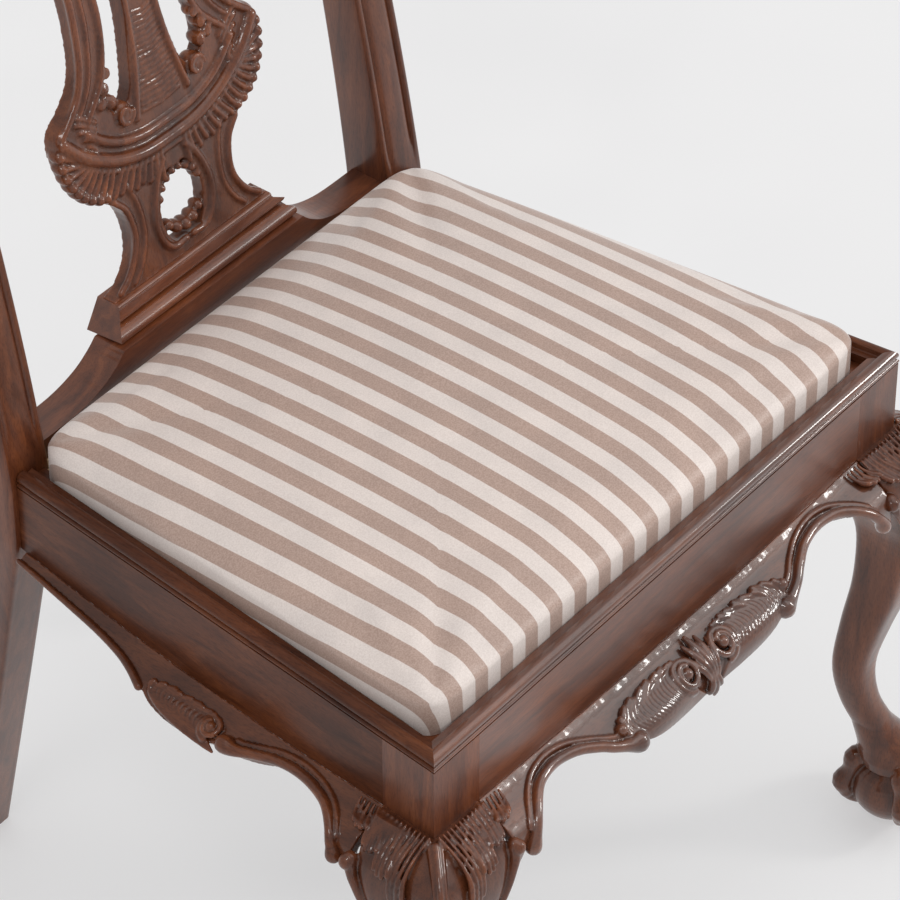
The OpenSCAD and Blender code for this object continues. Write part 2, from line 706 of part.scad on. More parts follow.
front_leg(false);  // front_leg_left
front_leg(true);  // front_leg_right
back_post(false);  // back_post_left
back_post(true);  // back_post_right
front_rail();
side_rail(false);  // side_rail_left
side_rail(true);  // side_rail_right
back_rail();
seat_rim_front();
seat_rim_side(false);  // seat_rim_left
seat_rim_side(true);  // seat_rim_right
apron_front();
apron_side(false);  // apron_left
apron_side(true);  // apron_right
knee_block_front(false);  // knee_block_front_left
knee_block_front(true);  // knee_block_front_right
knee_block_side(false);  // knee_block_side_left
knee_block_side(true);  // knee_block_side_right
crest_rail();
splat();
shoe();
corner_block_front(false);  // corner_block_front_left
corner_block_front(true);  // corner_block_front_right
corner_block_back(false);  // corner_block_back_left
corner_block_back(true);  // corner_block_back_right
corner_block_screws();
seat_frame_front();
seat_frame_back();
seat_frame_side(false);  // seat_frame_left
seat_frame_side(true);  // seat_frame_right
seat_webbing();
seat_hessian();
seat_pad();
seat_cover();
seat_dust_cover();
seat_tacks();
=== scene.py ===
# Carved mahogany side chair with a drop-in seat covered in striped satin.
import math
import bpy
import bmesh
import numpy as np
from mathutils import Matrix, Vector


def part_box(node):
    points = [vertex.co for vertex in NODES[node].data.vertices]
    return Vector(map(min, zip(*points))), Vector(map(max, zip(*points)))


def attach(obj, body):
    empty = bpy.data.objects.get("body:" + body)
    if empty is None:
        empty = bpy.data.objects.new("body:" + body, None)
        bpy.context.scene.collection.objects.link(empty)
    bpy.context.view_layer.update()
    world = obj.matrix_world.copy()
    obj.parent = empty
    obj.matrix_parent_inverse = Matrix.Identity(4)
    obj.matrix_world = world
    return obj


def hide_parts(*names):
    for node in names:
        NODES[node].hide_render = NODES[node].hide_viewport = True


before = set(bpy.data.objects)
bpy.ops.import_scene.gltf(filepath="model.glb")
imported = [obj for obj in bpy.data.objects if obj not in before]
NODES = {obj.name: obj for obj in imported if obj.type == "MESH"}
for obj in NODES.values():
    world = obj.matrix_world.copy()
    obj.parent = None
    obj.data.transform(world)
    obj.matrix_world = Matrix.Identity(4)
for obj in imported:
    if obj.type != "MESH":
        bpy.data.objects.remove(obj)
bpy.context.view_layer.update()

# Drawing frame: millimetres, x from the middle, y inwards from the face of the front
# rail, z up from the floor. FACE_Y is that face in the row frame.
FACE_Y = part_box("front_rail")[0].y * 1000
RAIL_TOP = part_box("front_rail")[1].z * 1000
RAIL_END = RAIL_TOP - 56
HALF_F, HALF_B, DEPTH = 268.0, 224.0, 404.0    # the seat frame's half widths and depth
SIDE_LEN = math.hypot(DEPTH, HALF_F - HALF_B)
SLANT = math.atan2(HALF_F - HALF_B, DEPTH)
BELLY = 10.0
RIM_TOP = RAIL_TOP + 12
SHOE_Z = RIM_TOP + 26
SHOE_TOP = SHOE_Z + 22
SHOE_HALF, SHOE_END = 97.0, 13.0    # half the shoe's length, and how far its ends step in

# ---------------------------------------------------------------- mesh helpers


def to_row(p):
    p = np.asarray(p, float).reshape(-1, 3)
    return (p + np.array([0, FACE_Y, 0])) / 1000


def make(name, verts, faces):
    me = bpy.data.meshes.new(name)
    me.from_pydata([tuple(v) for v in to_row(verts)], [], [tuple(f) for f in faces])
    me.update()
    ob = bpy.data.objects.new(name, me)
    bpy.context.scene.collection.objects.link(ob)
    return ob


class Soup:
    """Collects closed shapes for one mesh."""

    def __init__(self):
        self.v, self.f, self.n = [], [], 0

    def add(self, verts, faces):
        verts = np.asarray(verts, float).reshape(-1, 3)
        self.v.append(verts)
        self.f += [tuple(i + self.n for i in f) for f in faces]
        self.n += len(verts)

    def rings(self, rings):
        """rings: m arrays of k points, joined into a closed skin."""
        m, k = len(rings), len(rings[0])
        v = np.concatenate(rings)
        f = [(i * k + j, i * k + (j + 1) % k, (i + 1) * k + (j + 1) % k, (i + 1) * k + j)
             for i in range(m - 1) for j in range(k)]
        f.append(tuple(reversed(range(k))))
        f.append(tuple(range((m - 1) * k, m * k)))
        self.add(v, f)

    def tube(self, path, radius, ring=10):
        """A round-ended tube along the path. radius is a number or one for each point."""
        p = np.asarray(path, float)
        r = np.broadcast_to(np.asarray(radius, float), (len(p),)).copy()
        t = np.gradient(p, axis=0)
        t /= np.linalg.norm(t, axis=1)[:, None] + 1e-9
        # round ends
        a = np.array([0.95, 0.7, 0.35])
        s = np.sqrt(1 - a ** 2)
        head = p[0] - t[0] * (r[0] * a)[:, None]
        tail = p[-1] + t[-1] * (r[-1] * a[::-1])[:, None]
        p = np.concatenate([head, p, tail])
        t = np.concatenate([np.repeat(t[:1], 3, 0), t, np.repeat(t[-1:], 3, 0)])
        r = np.concatenate([r[0] * s, r, r[-1] * s[::-1]])
        u = np.cross(t, (0.3, 0.5, 0.81))
        u /= np.linalg.norm(u, axis=1)[:, None] + 1e-9
        w = np.cross(t, u)
        ang = np.linspace(0, 2 * np.pi, ring, endpoint=False)
        cs, sn = np.cos(ang)[:, None], np.sin(ang)[:, None]
        self.rings([p[i] + r[i] * (cs * u[i] + sn * w[i]) for i in range(len(p))])

    def ball(self, c, r, squash=(1, 1, 1), n=10):
        th = np.linspace(0, np.pi, n + 2)[1:-1]
        ph = np.linspace(0, 2 * np.pi, 2 * n, endpoint=False)
        size = r * np.asarray(squash, float)
        self.rings([np.asarray(c) + size * np.stack([math.sin(a) * np.cos(ph), math.sin(a) * np.sin(ph),
                                                     np.full(len(ph), math.cos(a))], 1) for a in th])

    def node(self, name):
        """A copy of a CAD node, welded."""
        me = NODES[name].data
        co = np.zeros(len(me.vertices) * 3)
        me.vertices.foreach_get("co", co)
        co = co.reshape(-1, 3) * 1000 - np.array([0, FACE_Y, 0])
        key, back = np.unique(np.round(co, 3), axis=0, return_inverse=True)
        back = back.ravel()
        faces = []
        for p in me.polygons:
            f = [int(back[i]) for i in p.vertices]
            if len(set(f)) == len(f):
                faces.append(tuple(f))
        self.add(key, faces)

    def build(self, name):
        return make(name, np.concatenate(self.v), self.f)


def fuse(ob, voxel, rounds=2, factor=0.5):
    """Makes the shapes one skin and softens where they meet."""
    outward(ob)
    mod = ob.modifiers.new("remesh", "REMESH")
    mod.mode, mod.voxel_size = "VOXEL", voxel / 1000
    if rounds:
        sm = ob.modifiers.new("soft", "SMOOTH")
        sm.factor, sm.iterations = factor, rounds
    bake_modifiers(ob)
    shade(ob)
    return ob


def bake_modifiers(ob):
    dg = bpy.context.evaluated_depsgraph_get()
    me = bpy.data.meshes.new_from_object(ob.evaluated_get(dg))
    old = ob.data
    ob.modifiers.clear()
    ob.data = me
    bpy.data.meshes.remove(old)


def shade(ob, smooth=True):
    ob.data.polygons.foreach_set("use_smooth", [smooth] * len(ob.data.polygons))


def coords(ob):
    co = np.zeros(len(ob.data.vertices) * 3)
    ob.data.vertices.foreach_get("co", co)
    return co.reshape(-1, 3) * 1000 - np.array([0, FACE_Y, 0])


def set_coords(ob, co):
    ob.data.vertices.foreach_set("co", to_row(co).ravel())
    ob.data.update()


def outward(ob):
    """Turns every face of a closed mesh outwards."""
    bm = bmesh.new()
    bm.from_mesh(ob.data)
    bmesh.ops.recalc_face_normals(bm, faces=bm.faces)
    bm.to_mesh(ob.data)
    bm.free()
    return ob


def mirrored(ob, name):
    """A copy of ob on the other side of the chair."""
    me = ob.data.copy()
    other = bpy.data.objects.new(name, me)
    bpy.context.scene.collection.objects.link(other)
    bm = bmesh.new()
    bm.from_mesh(me)
    for v in bm.verts:
        v.co.x = -v.co.x
    bmesh.ops.reverse_faces(bm, faces=bm.faces)
    bm.to_mesh(me)
    bm.free()
    return other


def spline(pts, n=8):
    """A smooth curve through the points, n steps a span, in any number of dimensions."""
    p = np.asarray(pts, float)
    q = np.concatenate([2 * p[:1] - p[1:2], p, 2 * p[-1:] - p[-2:-1]])
    out = []
    for i in range(1, len(q) - 2):
        for k in range(n):
            t = k / n
            out.append(0.5 * (2 * q[i] + (q[i + 1] - q[i - 1]) * t
                              + (2 * q[i - 1] - 5 * q[i] + 4 * q[i + 1] - q[i + 2]) * t * t
                              + (3 * q[i] - q[i - 1] - 3 * q[i + 1] + q[i + 2]) * t ** 3))
    out.append(p[-1])
    return np.array(out)


def bezier(p0, p1, p2, n=10):
    t = np.linspace(0, 1, n)[:, None]
    p0, p1, p2 = (np.asarray(p, float) for p in (p0, p1, p2))
    return (1 - t) ** 2 * p0 + 2 * t * (1 - t) * p1 + t * t * p2


def spiral(cx, cy, r0, r1, a0, turns, n=30):
    """Points of a spiral from radius r0 to r1."""
    t = np.linspace(0, 1, n)
    a = a0 + turns * 2 * np.pi * t
    r = r0 + (r1 - r0) * t
    return np.stack([cx + r * np.cos(a), cy + r * np.sin(a)], 1)


# ---------------------------------------------------------------- materials


class Look:
    """A material, with short calls for the nodes used here."""

    def __init__(self, name):
        self.mat = bpy.data.materials.new(name)
        self.mat.use_nodes = True
        self.nodes, self.links = self.mat.node_tree.nodes, self.mat.node_tree.links
        self.shader = self.nodes["Principled BSDF"]
        self.object = self.nodes.new("ShaderNodeTexCoord").outputs["Object"]

    def node(self, kind, **values):
        new = self.nodes.new(kind)
        for key, value in values.items():
            new.inputs[key.replace("_", " ")].default_value = value
        return new

    def stretched(self, scale):
        mapping = self.node("ShaderNodeMapping", Scale=scale)
        self.links.new(self.object, mapping.inputs["Vector"])
        return mapping.outputs[0]

    def noise(self, vector, **values):
        new = self.node("ShaderNodeTexNoise", **values)
        self.links.new(vector, new.inputs["Vector"])
        return new.outputs[0]

    def wave(self, direction, **values):
        new = self.node("ShaderNodeTexWave", **values)
        new.bands_direction = direction
        self.links.new(self.object, new.inputs["Vector"])
        return new.outputs["Fac"]

    def math(self, kind, a, b):
        """b is a number or a socket."""
        new = self.nodes.new("ShaderNodeMath")
        new.operation = kind
        self.links.new(a, new.inputs[0])
        if isinstance(b, float):
            new.inputs[1].default_value = b
        else:
            self.links.new(b, new.inputs[1])
        return new.outputs[0]

    def ramp(self, source, *stops):
        new = self.nodes.new("ShaderNodeValToRGB")
        elements = new.color_ramp.elements
        while len(elements) < len(stops):
            elements.new(0.5)
        for e, (pos, col) in zip(elements, stops):
            e.position, e.color = pos, (*col, 1)
        self.links.new(source, new.inputs[0])
        return new.outputs[0]

    def mix(self, kind, amount, a, b):
        """amount is a number or a socket."""
        new = self.nodes.new("ShaderNodeMix")
        new.data_type, new.blend_type = "RGBA", kind
        if isinstance(amount, float):
            new.inputs[0].default_value = amount
        else:
            self.links.new(amount, new.inputs[0])
        self.links.new(a, new.inputs[6])
        self.links.new(b, new.inputs[7])
        return new.outputs[2]

    def bump(self, height, strength, distance, below=None):
        new = self.node("ShaderNodeBump", Strength=strength, Distance=distance)
        self.links.new(height, new.inputs["Height"])
        if below:
            self.links.new(below, new.inputs["Normal"])
        return new.outputs[0]

    def put(self, **sockets):
        """Sets sockets of the shader to numbers or to what a node gives."""
        for key, value in sockets.items():
            socket = self.shader.inputs[key.replace("_", " ")]
            if isinstance(value, bpy.types.NodeSocket):
                self.links.new(value, socket)
            else:
                socket.default_value = value


def grey(value):
    return (value,) * 3


def mahogany(name, along, carved=False, tone=1.0, gloss=0.5, blur=0.06):
    """Stained, varnished mahogany. along stretches the grain on each axis. gloss is how strong
    the varnish is and blur how rough."""
    k = Look(name)
    grain = k.stretched(along)
    figure = k.noise(grain, Scale=9, Detail=5, Distortion=0.8)
    pores = k.noise(grain, Scale=120, Detail=3)
    cloud = k.noise(k.object, Scale=7, Detail=2)
    colour = k.ramp(figure, (0.25, (0.060 * tone, 0.0165 * tone, 0.0070 * tone)),
                    (0.50, (0.118 * tone, 0.0345 * tone, 0.0135 * tone)),
                    (0.78, (0.190 * tone, 0.0600 * tone, 0.0220 * tone)))
    dark = k.ramp(pores, (0.36, (0.45, 0.40, 0.38)), (0.52, grey(1)))
    colour = k.mix("MULTIPLY", 0.55, colour, dark)
    wash = k.ramp(cloud, (0.35, (0.72, 0.68, 0.66)), (0.68, (1.28, 1.22, 1.12)))
    colour = k.mix("MULTIPLY", 0.8, colour, wash)
    if carved:                # painted shade darkens the hollows; rubbed edges are lighter wear
        edges = k.nodes.new("ShaderNodeNewGeometry").outputs["Pointiness"]
        hollow_shade_and_wear = k.ramp(edges, (0.40, (0.08, 0.05, 0.045)), (0.50, grey(0.82)),
                        (0.61, (1.8, 1.75, 1.6)))
        colour = k.mix("MULTIPLY", 0.85, colour, hollow_shade_and_wear)
    lumps = k.bump(k.noise(k.object, Scale=55, Detail=2), 0.10 if carved else 0.012, 0.004)
    k.put(Base_Color=colour, Roughness=k.ramp(cloud, (0.3, grey(0.42)), (0.7, grey(0.32))),
          Specular_IOR_Level=0.5 * gloss, Coat_Weight=gloss, Coat_Roughness=blur, Coat_IOR=1.5,
          Normal=k.bump(pores, 0.10, 0.0006, lumps), Coat_Normal=lumps)
    return k.mat


def plain_wood(name):
    k = Look(name)
    grain = k.noise(k.stretched((4, 30, 30)), Scale=6, Detail=6)
    k.put(Base_Color=k.ramp(grain, (0.3, (0.36, 0.21, 0.105)), (0.7, (0.58, 0.39, 0.22))),
          Roughness=0.62, Normal=k.bump(grain, 0.25, 0.0008))
    return k.mat


def woven(name, dark, light, threads, rough=0.85, depth=0.5):
    """A plain weave. threads is how many there are in a metre."""
    k = Look(name)
    weave = k.math("MAXIMUM", *(k.wave(d, Scale=threads * 0.16, Distortion=0.6, Detail_Scale=3)
                                for d in "XY"))
    k.put(Base_Color=k.ramp(weave, (0.2, dark), (0.9, light)), Roughness=rough,
          Normal=k.bump(weave, depth, 0.0008))
    return k.mat


def metal(name, colour, rough):
    k = Look(name)
    spots = k.noise(k.object, Scale=300)
    k.put(Base_Color=k.ramp(spots, (0.3, tuple(x * 0.7 for x in colour)), (0.7, colour)),
          Metallic=1, Roughness=rough)
    return k.mat


STRIPE = 27.0                 # a cream stripe and a taupe one


def satin(name):
    """Cream and taupe satin stripes that follow the cloth's own width."""
    k = Look(name)
    across = k.nodes.new("ShaderNodeAttribute")
    across.attribute_name = "stripe"
    to_and_fro = k.math("PINGPONG", across.outputs["Fac"], 0.5)
    edge = k.ramp(to_and_fro, (0.243, grey(0)), (0.257, grey(1)))
    threads = k.wave("X", Scale=560, Distortion=1.0, Detail=1)
    fleck = k.noise(k.object, Scale=900, Detail=2)
    slub = k.noise(k.object, Scale=26, Detail=3)
    taupe = k.ramp(fleck, (0.35, (0.385, 0.268, 0.22)), (0.65, (0.49, 0.355, 0.30)))
    cream = k.ramp(fleck, (0.35, (0.70, 0.62, 0.58)), (0.65, (0.79, 0.71, 0.67)))
    stripes = k.mix("MIX", edge, taupe, cream)
    vary = k.ramp(slub, (0.3, grey(0.93)), (0.7, (1.04, 1.03, 1.02)))
    k.put(Base_Color=k.mix("MULTIPLY", 1.0, stripes, vary),
          Roughness=k.ramp(edge, (0.0, grey(0.36)), (1.0, grey(0.46))),
          Sheen_Weight=0.35, Sheen_Roughness=0.4, Specular_IOR_Level=0.45,
          Normal=k.bump(threads, 0.10, 0.0004, k.bump(fleck, 0.18, 0.0004)))
    return k.mat


ALONG_X, ALONG_Y, ALONG_Z = (1.2, 11, 11), (11, 1.2, 11), (11, 11, 1.2)
WOOD_X = mahogany("mahogany_x", ALONG_X, tone=1.1, gloss=0.7, blur=0.28)
RIM_X = mahogany("mahogany_rim_x", ALONG_X, gloss=1.0)
# the side-facing copy is darker (tone 0.75): painted shade on the chair's shaded sides
WOOD_Y_SHADED = mahogany("mahogany_y_painted_shade", ALONG_Y, tone=0.75, gloss=0.25, blur=0.25)
WOOD_Z = mahogany("mahogany_z", ALONG_Z, tone=1.1, gloss=0.45, blur=0.2)
CARVED_X = mahogany("mahogany_carved_x", (1.6, 9, 9), True, gloss=1.0)
# the side-facing carved copy is a little darker (tone 0.95): painted shade on the shaded sides
CARVED_Y_SHADED = mahogany("mahogany_carved_y_painted_shade", (9, 1.6, 9), True, tone=0.95, gloss=0.5)
CARVED_Z = mahogany("mahogany_carved_z", (9, 9, 1.6), True, tone=1.1, gloss=0.55, blur=0.05)
BEECH = plain_wood("beech")
SCREW = metal("screw_steel", (0.55, 0.53, 0.48), 0.4)
TACK = metal("tack_steel", (0.08, 0.08, 0.085), 0.45)
WEB = woven("jute_webbing", (0.20, 0.15, 0.09), (0.45, 0.36, 0.23), 900)
HESSIAN = woven("hessian", (0.22, 0.16, 0.09), (0.50, 0.38, 0.24), 700)
DUST = woven("dust_cloth", (0.012, 0.012, 0.013), (0.035, 0.035, 0.037), 1500, 0.9, 0.3)
SATIN = satin("striped_satin")


def dress(ob, mat):
    ob.data.materials.clear()
    ob.data.materials.append(mat)
    return ob


def piece(ob, mat, body, slot, *nodes):
    dress(ob, mat)
    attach(ob, body)
    if nodes:
        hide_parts(*nodes)
    return ob


# ---------------------------------------------------------------- CAD nodes that stay

STAY = {
    "front_rail": WOOD_X, "side_rail_left": WOOD_Y_SHADED, "side_rail_right": WOOD_Y_SHADED, "back_rail": WOOD_X,
    "corner_block_front_left": BEECH, "corner_block_front_right": BEECH,
    "corner_block_back_left": BEECH, "corner_block_back_right": BEECH,
    "corner_block_screws": SCREW, "seat_frame_front": BEECH, "seat_frame_back": BEECH,
    "seat_frame_left": BEECH, "seat_frame_right": BEECH, "seat_webbing": WEB,
    "seat_hessian": HESSIAN, "seat_dust_cover": DUST, "seat_tacks": TACK,
}
for n, mat in STAY.items():
    dress(NODES[n], mat)
for n in ("front_rail", "side_rail_left", "side_rail_right", "back_rail"):
    w = NODES[n].modifiers.new("weld", "WELD")
    w.merge_threshold = 0.00002
    b = NODES[n].modifiers.new("edge", "BEVEL")
    b.width, b.segments, b.limit_method, b.angle_limit = 0.0007, 2, "ANGLE", math.radians(40)
    b.harden_normals = False

# ---------------------------------------------------------------- the carved flare

FLARE = spline([(0, 0), (6, 5), (13, 9), (20, 12), (26, 16), (31, 22), (33, 32), (33, 60)], 8)
_arc = np.concatenate([[0], np.cumsum(np.linalg.norm(np.diff(FLARE, axis=0), axis=1))])


def flare(a):
    """(out, down) on the flare at arc length a from the crease, and its outward normal."""
    a = np.asarray(a, float)
    o, d = np.interp(a, _arc, FLARE[:, 0]), np.interp(a, _arc, FLARE[:, 1])
    o2, d2 = np.interp(a + 1, _arc, FLARE[:, 0]), np.interp(a + 1, _arc, FLARE[:, 1])
    o1, d1 = np.interp(a - 1, _arc, FLARE[:, 0]), np.interp(a - 1, _arc, FLARE[:, 1])
    to, td = o2 - o1, d2 - d1
    k = np.hypot(to, td) + 1e-9
    return o, d, td / k, to / k          # normal is (out, up) = (td, to)


def under(x, half):
    return RAIL_END - BELLY * (1 - np.minimum(1, (x / half) ** 2))


def on_front(xa, lift=0.0):
    """Points of the front flare from (x, arc length), lifted off it."""
    xa = np.asarray(xa, float).reshape(-1, 2)
    o, d, no, nu = flare(xa[:, 1])
    return np.stack([xa[:, 0], -(o + lift * no), under(xa[:, 0], HALF_F) - d + lift * nu], 1)


def side_point(s, out, z):
    """A point beside the left side rail: s along it from the corner, out from its face."""
    s, out, z = np.broadcast_arrays(np.asarray(s, float), np.asarray(out, float), np.asarray(z, float))
    cs, sn = math.cos(SLANT), math.sin(SLANT)
    return np.stack([-HALF_F + s * sn - out * cs, s * cs + out * sn, z], -1)


def on_side(sa, lift=0.0):
    sa = np.asarray(sa, float).reshape(-1, 2)
    o, d, no, nu = flare(sa[:, 1])
    z = under(sa[:, 0] - SIDE_LEN / 2, SIDE_LEN / 2) - d + lift * nu
    return side_point(sa[:, 0], o + lift * no, z)


def leaf_ridge(soup, place, tip, ctrl, end, r, lift=1.0):
    """One reed of a leaf: fat near its tip, thin where it joins the others."""
    n = 12
    p = bezier(tip, ctrl, end, n)
    t = np.linspace(0, 1, n)
    rad = r * (0.95 + 0.25 * np.sin(np.pi * np.minimum(1, t * 2.2)) - 0.45 * t)
    soup.tube(place(p, lift * (1.0 + 0.9 * np.exp(-(t / 0.16) ** 2))), rad, ring=8)


def volute(soup, place, cx, ca, r0, a0, turns, r, lift=2.0, eye=3.4):
    """A spiral band round a button."""
    p = spiral(cx, ca, r0, eye + 0.8, a0, turns, 40)
    t = np.linspace(0, 1, 40)
    soup.tube(place(p, lift + 2.4 * t), r * (1 - 0.25 * t), ring=10)
    soup.ball(place(np.array([[cx, ca]]), lift + 1.2)[0], eye, n=12)


def leaf(soup, place, m, cx, ca, wide, deep, tilt, groups, per, r, lift):
    """Reeds that sweep under a volute at (cx, ca) and end in groups of curled tips. wide,
    deep: the inner and outer reach each way. tilt: how far each reed runs back up, degrees."""
    count = groups * per
    for i in range(count):
        f, g = i / (count - 1), (i % per) / (per - 1)
        a, b = wide[0] + (wide[1] - wide[0]) * f, deep[0] + (deep[1] - deep[0]) * f
        top = math.radians(tilt[0] + (tilt[1] - tilt[0]) * f - 13 * (1 - abs(2 * g - 0.8)))
        t = np.linspace(0, 1, 18)
        phi = top + (math.radians(100) - top) * t
        p = np.stack([m * (cx + a * np.cos(phi)), ca + b * np.sin(phi)], 1)
        curl = np.exp(-(t / 0.14) ** 2)
        height = lift(cx + a * np.cos(phi), ca + b * np.sin(phi)) + 0.9 + 2.4 * curl
        fat = r * (0.58 + 0.42 * np.maximum(0, np.cos(phi))) * (1 + 0.35 * curl)
        soup.tube(place(p, height), fat, ring=8)


def petal(soup, place, tip, ctrl, end, r, lift):
    """One pointed leaf with a round back."""
    p = bezier(tip, ctrl, end, 14)
    t = np.linspace(0, 1, 14)
    fat = r * (0.22 + 0.78 * np.sin(np.pi * np.minimum(1, 0.12 + t * 0.8)))
    soup.tube(place(p, lift + 1.4 * np.sin(np.pi * t)), fat, ring=12)


def shell(soup, place, us, low, thick=9.0, rows=22, swell=lambda u, a: 0 * a):
    """The flared board itself: from the crease to arc length low(u), closed behind."""
    rings = []
    for u in us:
        a = np.linspace(0, low(u), rows)
        front = place(np.stack([np.full(rows, u), a], 1), swell(np.full(rows, u), a))
        back_a = np.linspace(low(u), 0, 8)
        back = place(np.stack([np.full(8, u), back_a], 1), -thick)
        rings.append(np.concatenate([front, back]))
    soup.rings(rings)


# ---------------------------------------------------------------- front apron

FRONT_LOW = spline([(0, 54), (5, 52), (11, 47), (19, 48.5), (32, 51), (50, 51.5), (66, 49), (80, 43),
                    (92, 35), (104, 31), (116, 25), (134, 17), (152, 14), (168, 16), (180, 21), (192, 30),
                    (203, 40)], 6)


def front_swell(x, a):
    """The leaves stand out from the board on a low mound each side of the middle."""
    return 3.5 * np.exp(-((np.abs(x) - 56) / 30) ** 2 - ((a - 37) / 13) ** 2)


def front_low(x):
    return float(np.interp(abs(x), FRONT_LOW[:, 0], FRONT_LOW[:, 1]))


def front_apron():
    s = Soup()
    shell(s, on_front, np.linspace(-203, 203, 136), front_low, swell=front_swell)
    for m in (-1, 1):
        q = lambda pts: [(m * x, a) for x, a in pts]
        # scrolled moulding under each end: a bold reed, a hollow and a thin outer reed
        path = spline(q([(86, 40), (94, 38), (106, 33), (117, 26), (134, 17.5), (152, 14), (168, 16),
                         (180, 21.5), (192, 31), (201, 41), (206, 50)]), 6)
        n = len(path)
        t = np.linspace(0, 1, n)
        fat = 3.9 + 4.2 * np.exp(-(t / 0.10) ** 2) + 2.2 * np.exp(-((1 - t) / 0.07) ** 2)
        s.tube(on_front(path, 2.2), fat, ring=12)
        inner = path.copy()
        inner[:, 1] -= 7.4 + 1.0 * np.sin(np.pi * t)
        k = slice(3, n - 4)
        s.tube(on_front(inner, 0.4)[k], 2.3, ring=10)
        leaf(s, on_front, m, 21, 28, (15, 71), (13, 22.5), (-74, -18), 4, 4, 2.3, front_swell)
        volute(s, on_front, m * 21, 28, 12.0, math.pi / 2, m * -1.6, 2.9, 2.6, 4.8)
        # the outermost lobe curls over the scroll's end
        s.ball(on_front(np.array([[m * 94, 27]]), 3.0)[0], 4.6)
    # palmette in the middle
    for x, a, r in ((0, 8, 3.4), (7, 12, 2.8), (-7, 12, 2.8), (13, 18, 2.3), (-13, 18, 2.3)):
        petal(s, on_front, (x, a), (x * 0.75, a + 14), (x * 0.1, 46), r, 3.0)
    for x in (-5, 0, 5):
        petal(s, on_front, (x * 1.2, 57 - abs(x)), (x, 48), (x * 0.2, 36), 2.7, 2.4)
    ob = fuse(s.build("apron_front_carved"), 0.85, 1, 0.35)
    return ob


# ---------------------------------------------------------------- side aprons

SIDE_LOW = spline([(60, 40), (68, 31), (82, 21), (103, 14), (118, 12.5), (132, 13.5), (149, 19), (165, 25),
                   (180, 27), (190, 30), (205, 34), (228, 35), (248, 32), (262, 26), (282, 20), (300, 16),
                   (330, 13), (372, 10), (402, 9)], 6)


def side_swell(s, a):
    return 2.5 * np.exp(-((s - 225) / 24) ** 2 - ((a - 24) / 9) ** 2)


def side_low(s):
    return float(np.interp(s, SIDE_LOW[:, 0], SIDE_LOW[:, 1]))


def side_apron():
    s = Soup()
    shell(s, on_side, np.linspace(60, 402, 114), side_low, swell=side_swell)
    # bold scroll by the knee
    path = spline([(178, 25), (168, 24.5), (152, 19), (136, 14), (118, 12.5), (100, 15), (84, 21), (72, 30),
                   (64, 40), (60, 47)], 6)
    n = len(path)
    t = np.linspace(0, 1, n)
    fat = 3.7 + 3.2 * np.exp(-(t / 0.10) ** 2) + 2.2 * np.exp(-((1 - t) / 0.08) ** 2)
    s.tube(on_side(path, 2.0), fat, ring=12)
    inner = path.copy()
    inner[:, 1] -= 7.0
    s.tube(on_side(inner, 0.3)[4:-5], 2.2, ring=10)
    # leaf swept back from a volute
    leaf(s, on_side, 1, 194, 21, (12, 60), (9, 13), (-72, -14), 3, 4, 2.2, side_swell)
    volute(s, on_side, 194, 21, 9.0, math.pi / 2, -1.4, 2.4, 2.4, 3.8)
    # thin moulding from the leaf back to the post
    path = spline([(262, 27), (275, 21.5), (292, 16.5), (316, 13), (345, 11), (375, 9.5), (402, 8.5)], 6)
    n = len(path)
    t = np.linspace(0, 1, n)
    s.tube(on_side(path, 1.2), 3.0 - 1.0 * t, ring=10)
    return fuse(s.build("apron_left_carved"), 0.85, 1, 0.35)


# ---------------------------------------------------------------- front leg

LEG_OUT = spline([(0, 392), (9, 386), (20, 378), (30, 366), (35.5, 345), (34.5, 322), (31, 300), (21, 240),
                  (10, 197), (3, 160), (6, 125), (16, 96), (26, 70)], 8)
LEG_IN = spline([(47, 392), (46, 372), (40, 350), (27, 320), (19, 292), (19, 245), (24, 200), (27, 157),
                 (22, 122), (13, 92), (6, 66)], 8)


def leg_out(z):
    return np.interp(-np.asarray(z, float), -LEG_OUT[:, 1], LEG_OUT[:, 0])


def leg_in(z):
    return np.interp(-np.asarray(z, float), -LEG_IN[:, 1], LEG_IN[:, 0])


def knee_front(dz, lift=0.0):
    """Points on the knee's front face: d from the rail's corner, z above the floor."""
    dz = np.asarray(dz, float).reshape(-1, 2)
    z = dz[:, 1]
    o = leg_out(z)
    slope = (leg_out(z + 1) - leg_out(z - 1)) / 2
    k = np.sqrt(1 + slope ** 2)
    return np.stack([-HALF_F + dz[:, 0], -(o + lift / k), z + lift * slope / k], 1)


def knee_side(dz, lift=0.0):
    p = knee_front(dz, lift)
    x, y = p[:, 0] + HALF_F, p[:, 1]
    return np.stack([-HALF_F + y, x, p[:, 2]], 1)


def fan(soup, place):
    """Acanthus over one face of the knee: reeds that hang from the crease in four groups,
    longer towards the arris. place takes (distance from the corner, arc length)."""
    for start, short, long in ((64, 16, 22), (47, 25, 31), (30, 34, 41), (13, 46, 58)):
        for k in range(4):
            d = start - 4.1 * k
            a = short + (long - short) * math.sin(math.pi * (k + 1) / 5)
            leaf_ridge(soup, place, (d - 7, a), (d - 0.5, a * 0.6), (d, 3.0), 2.05, 1.7)


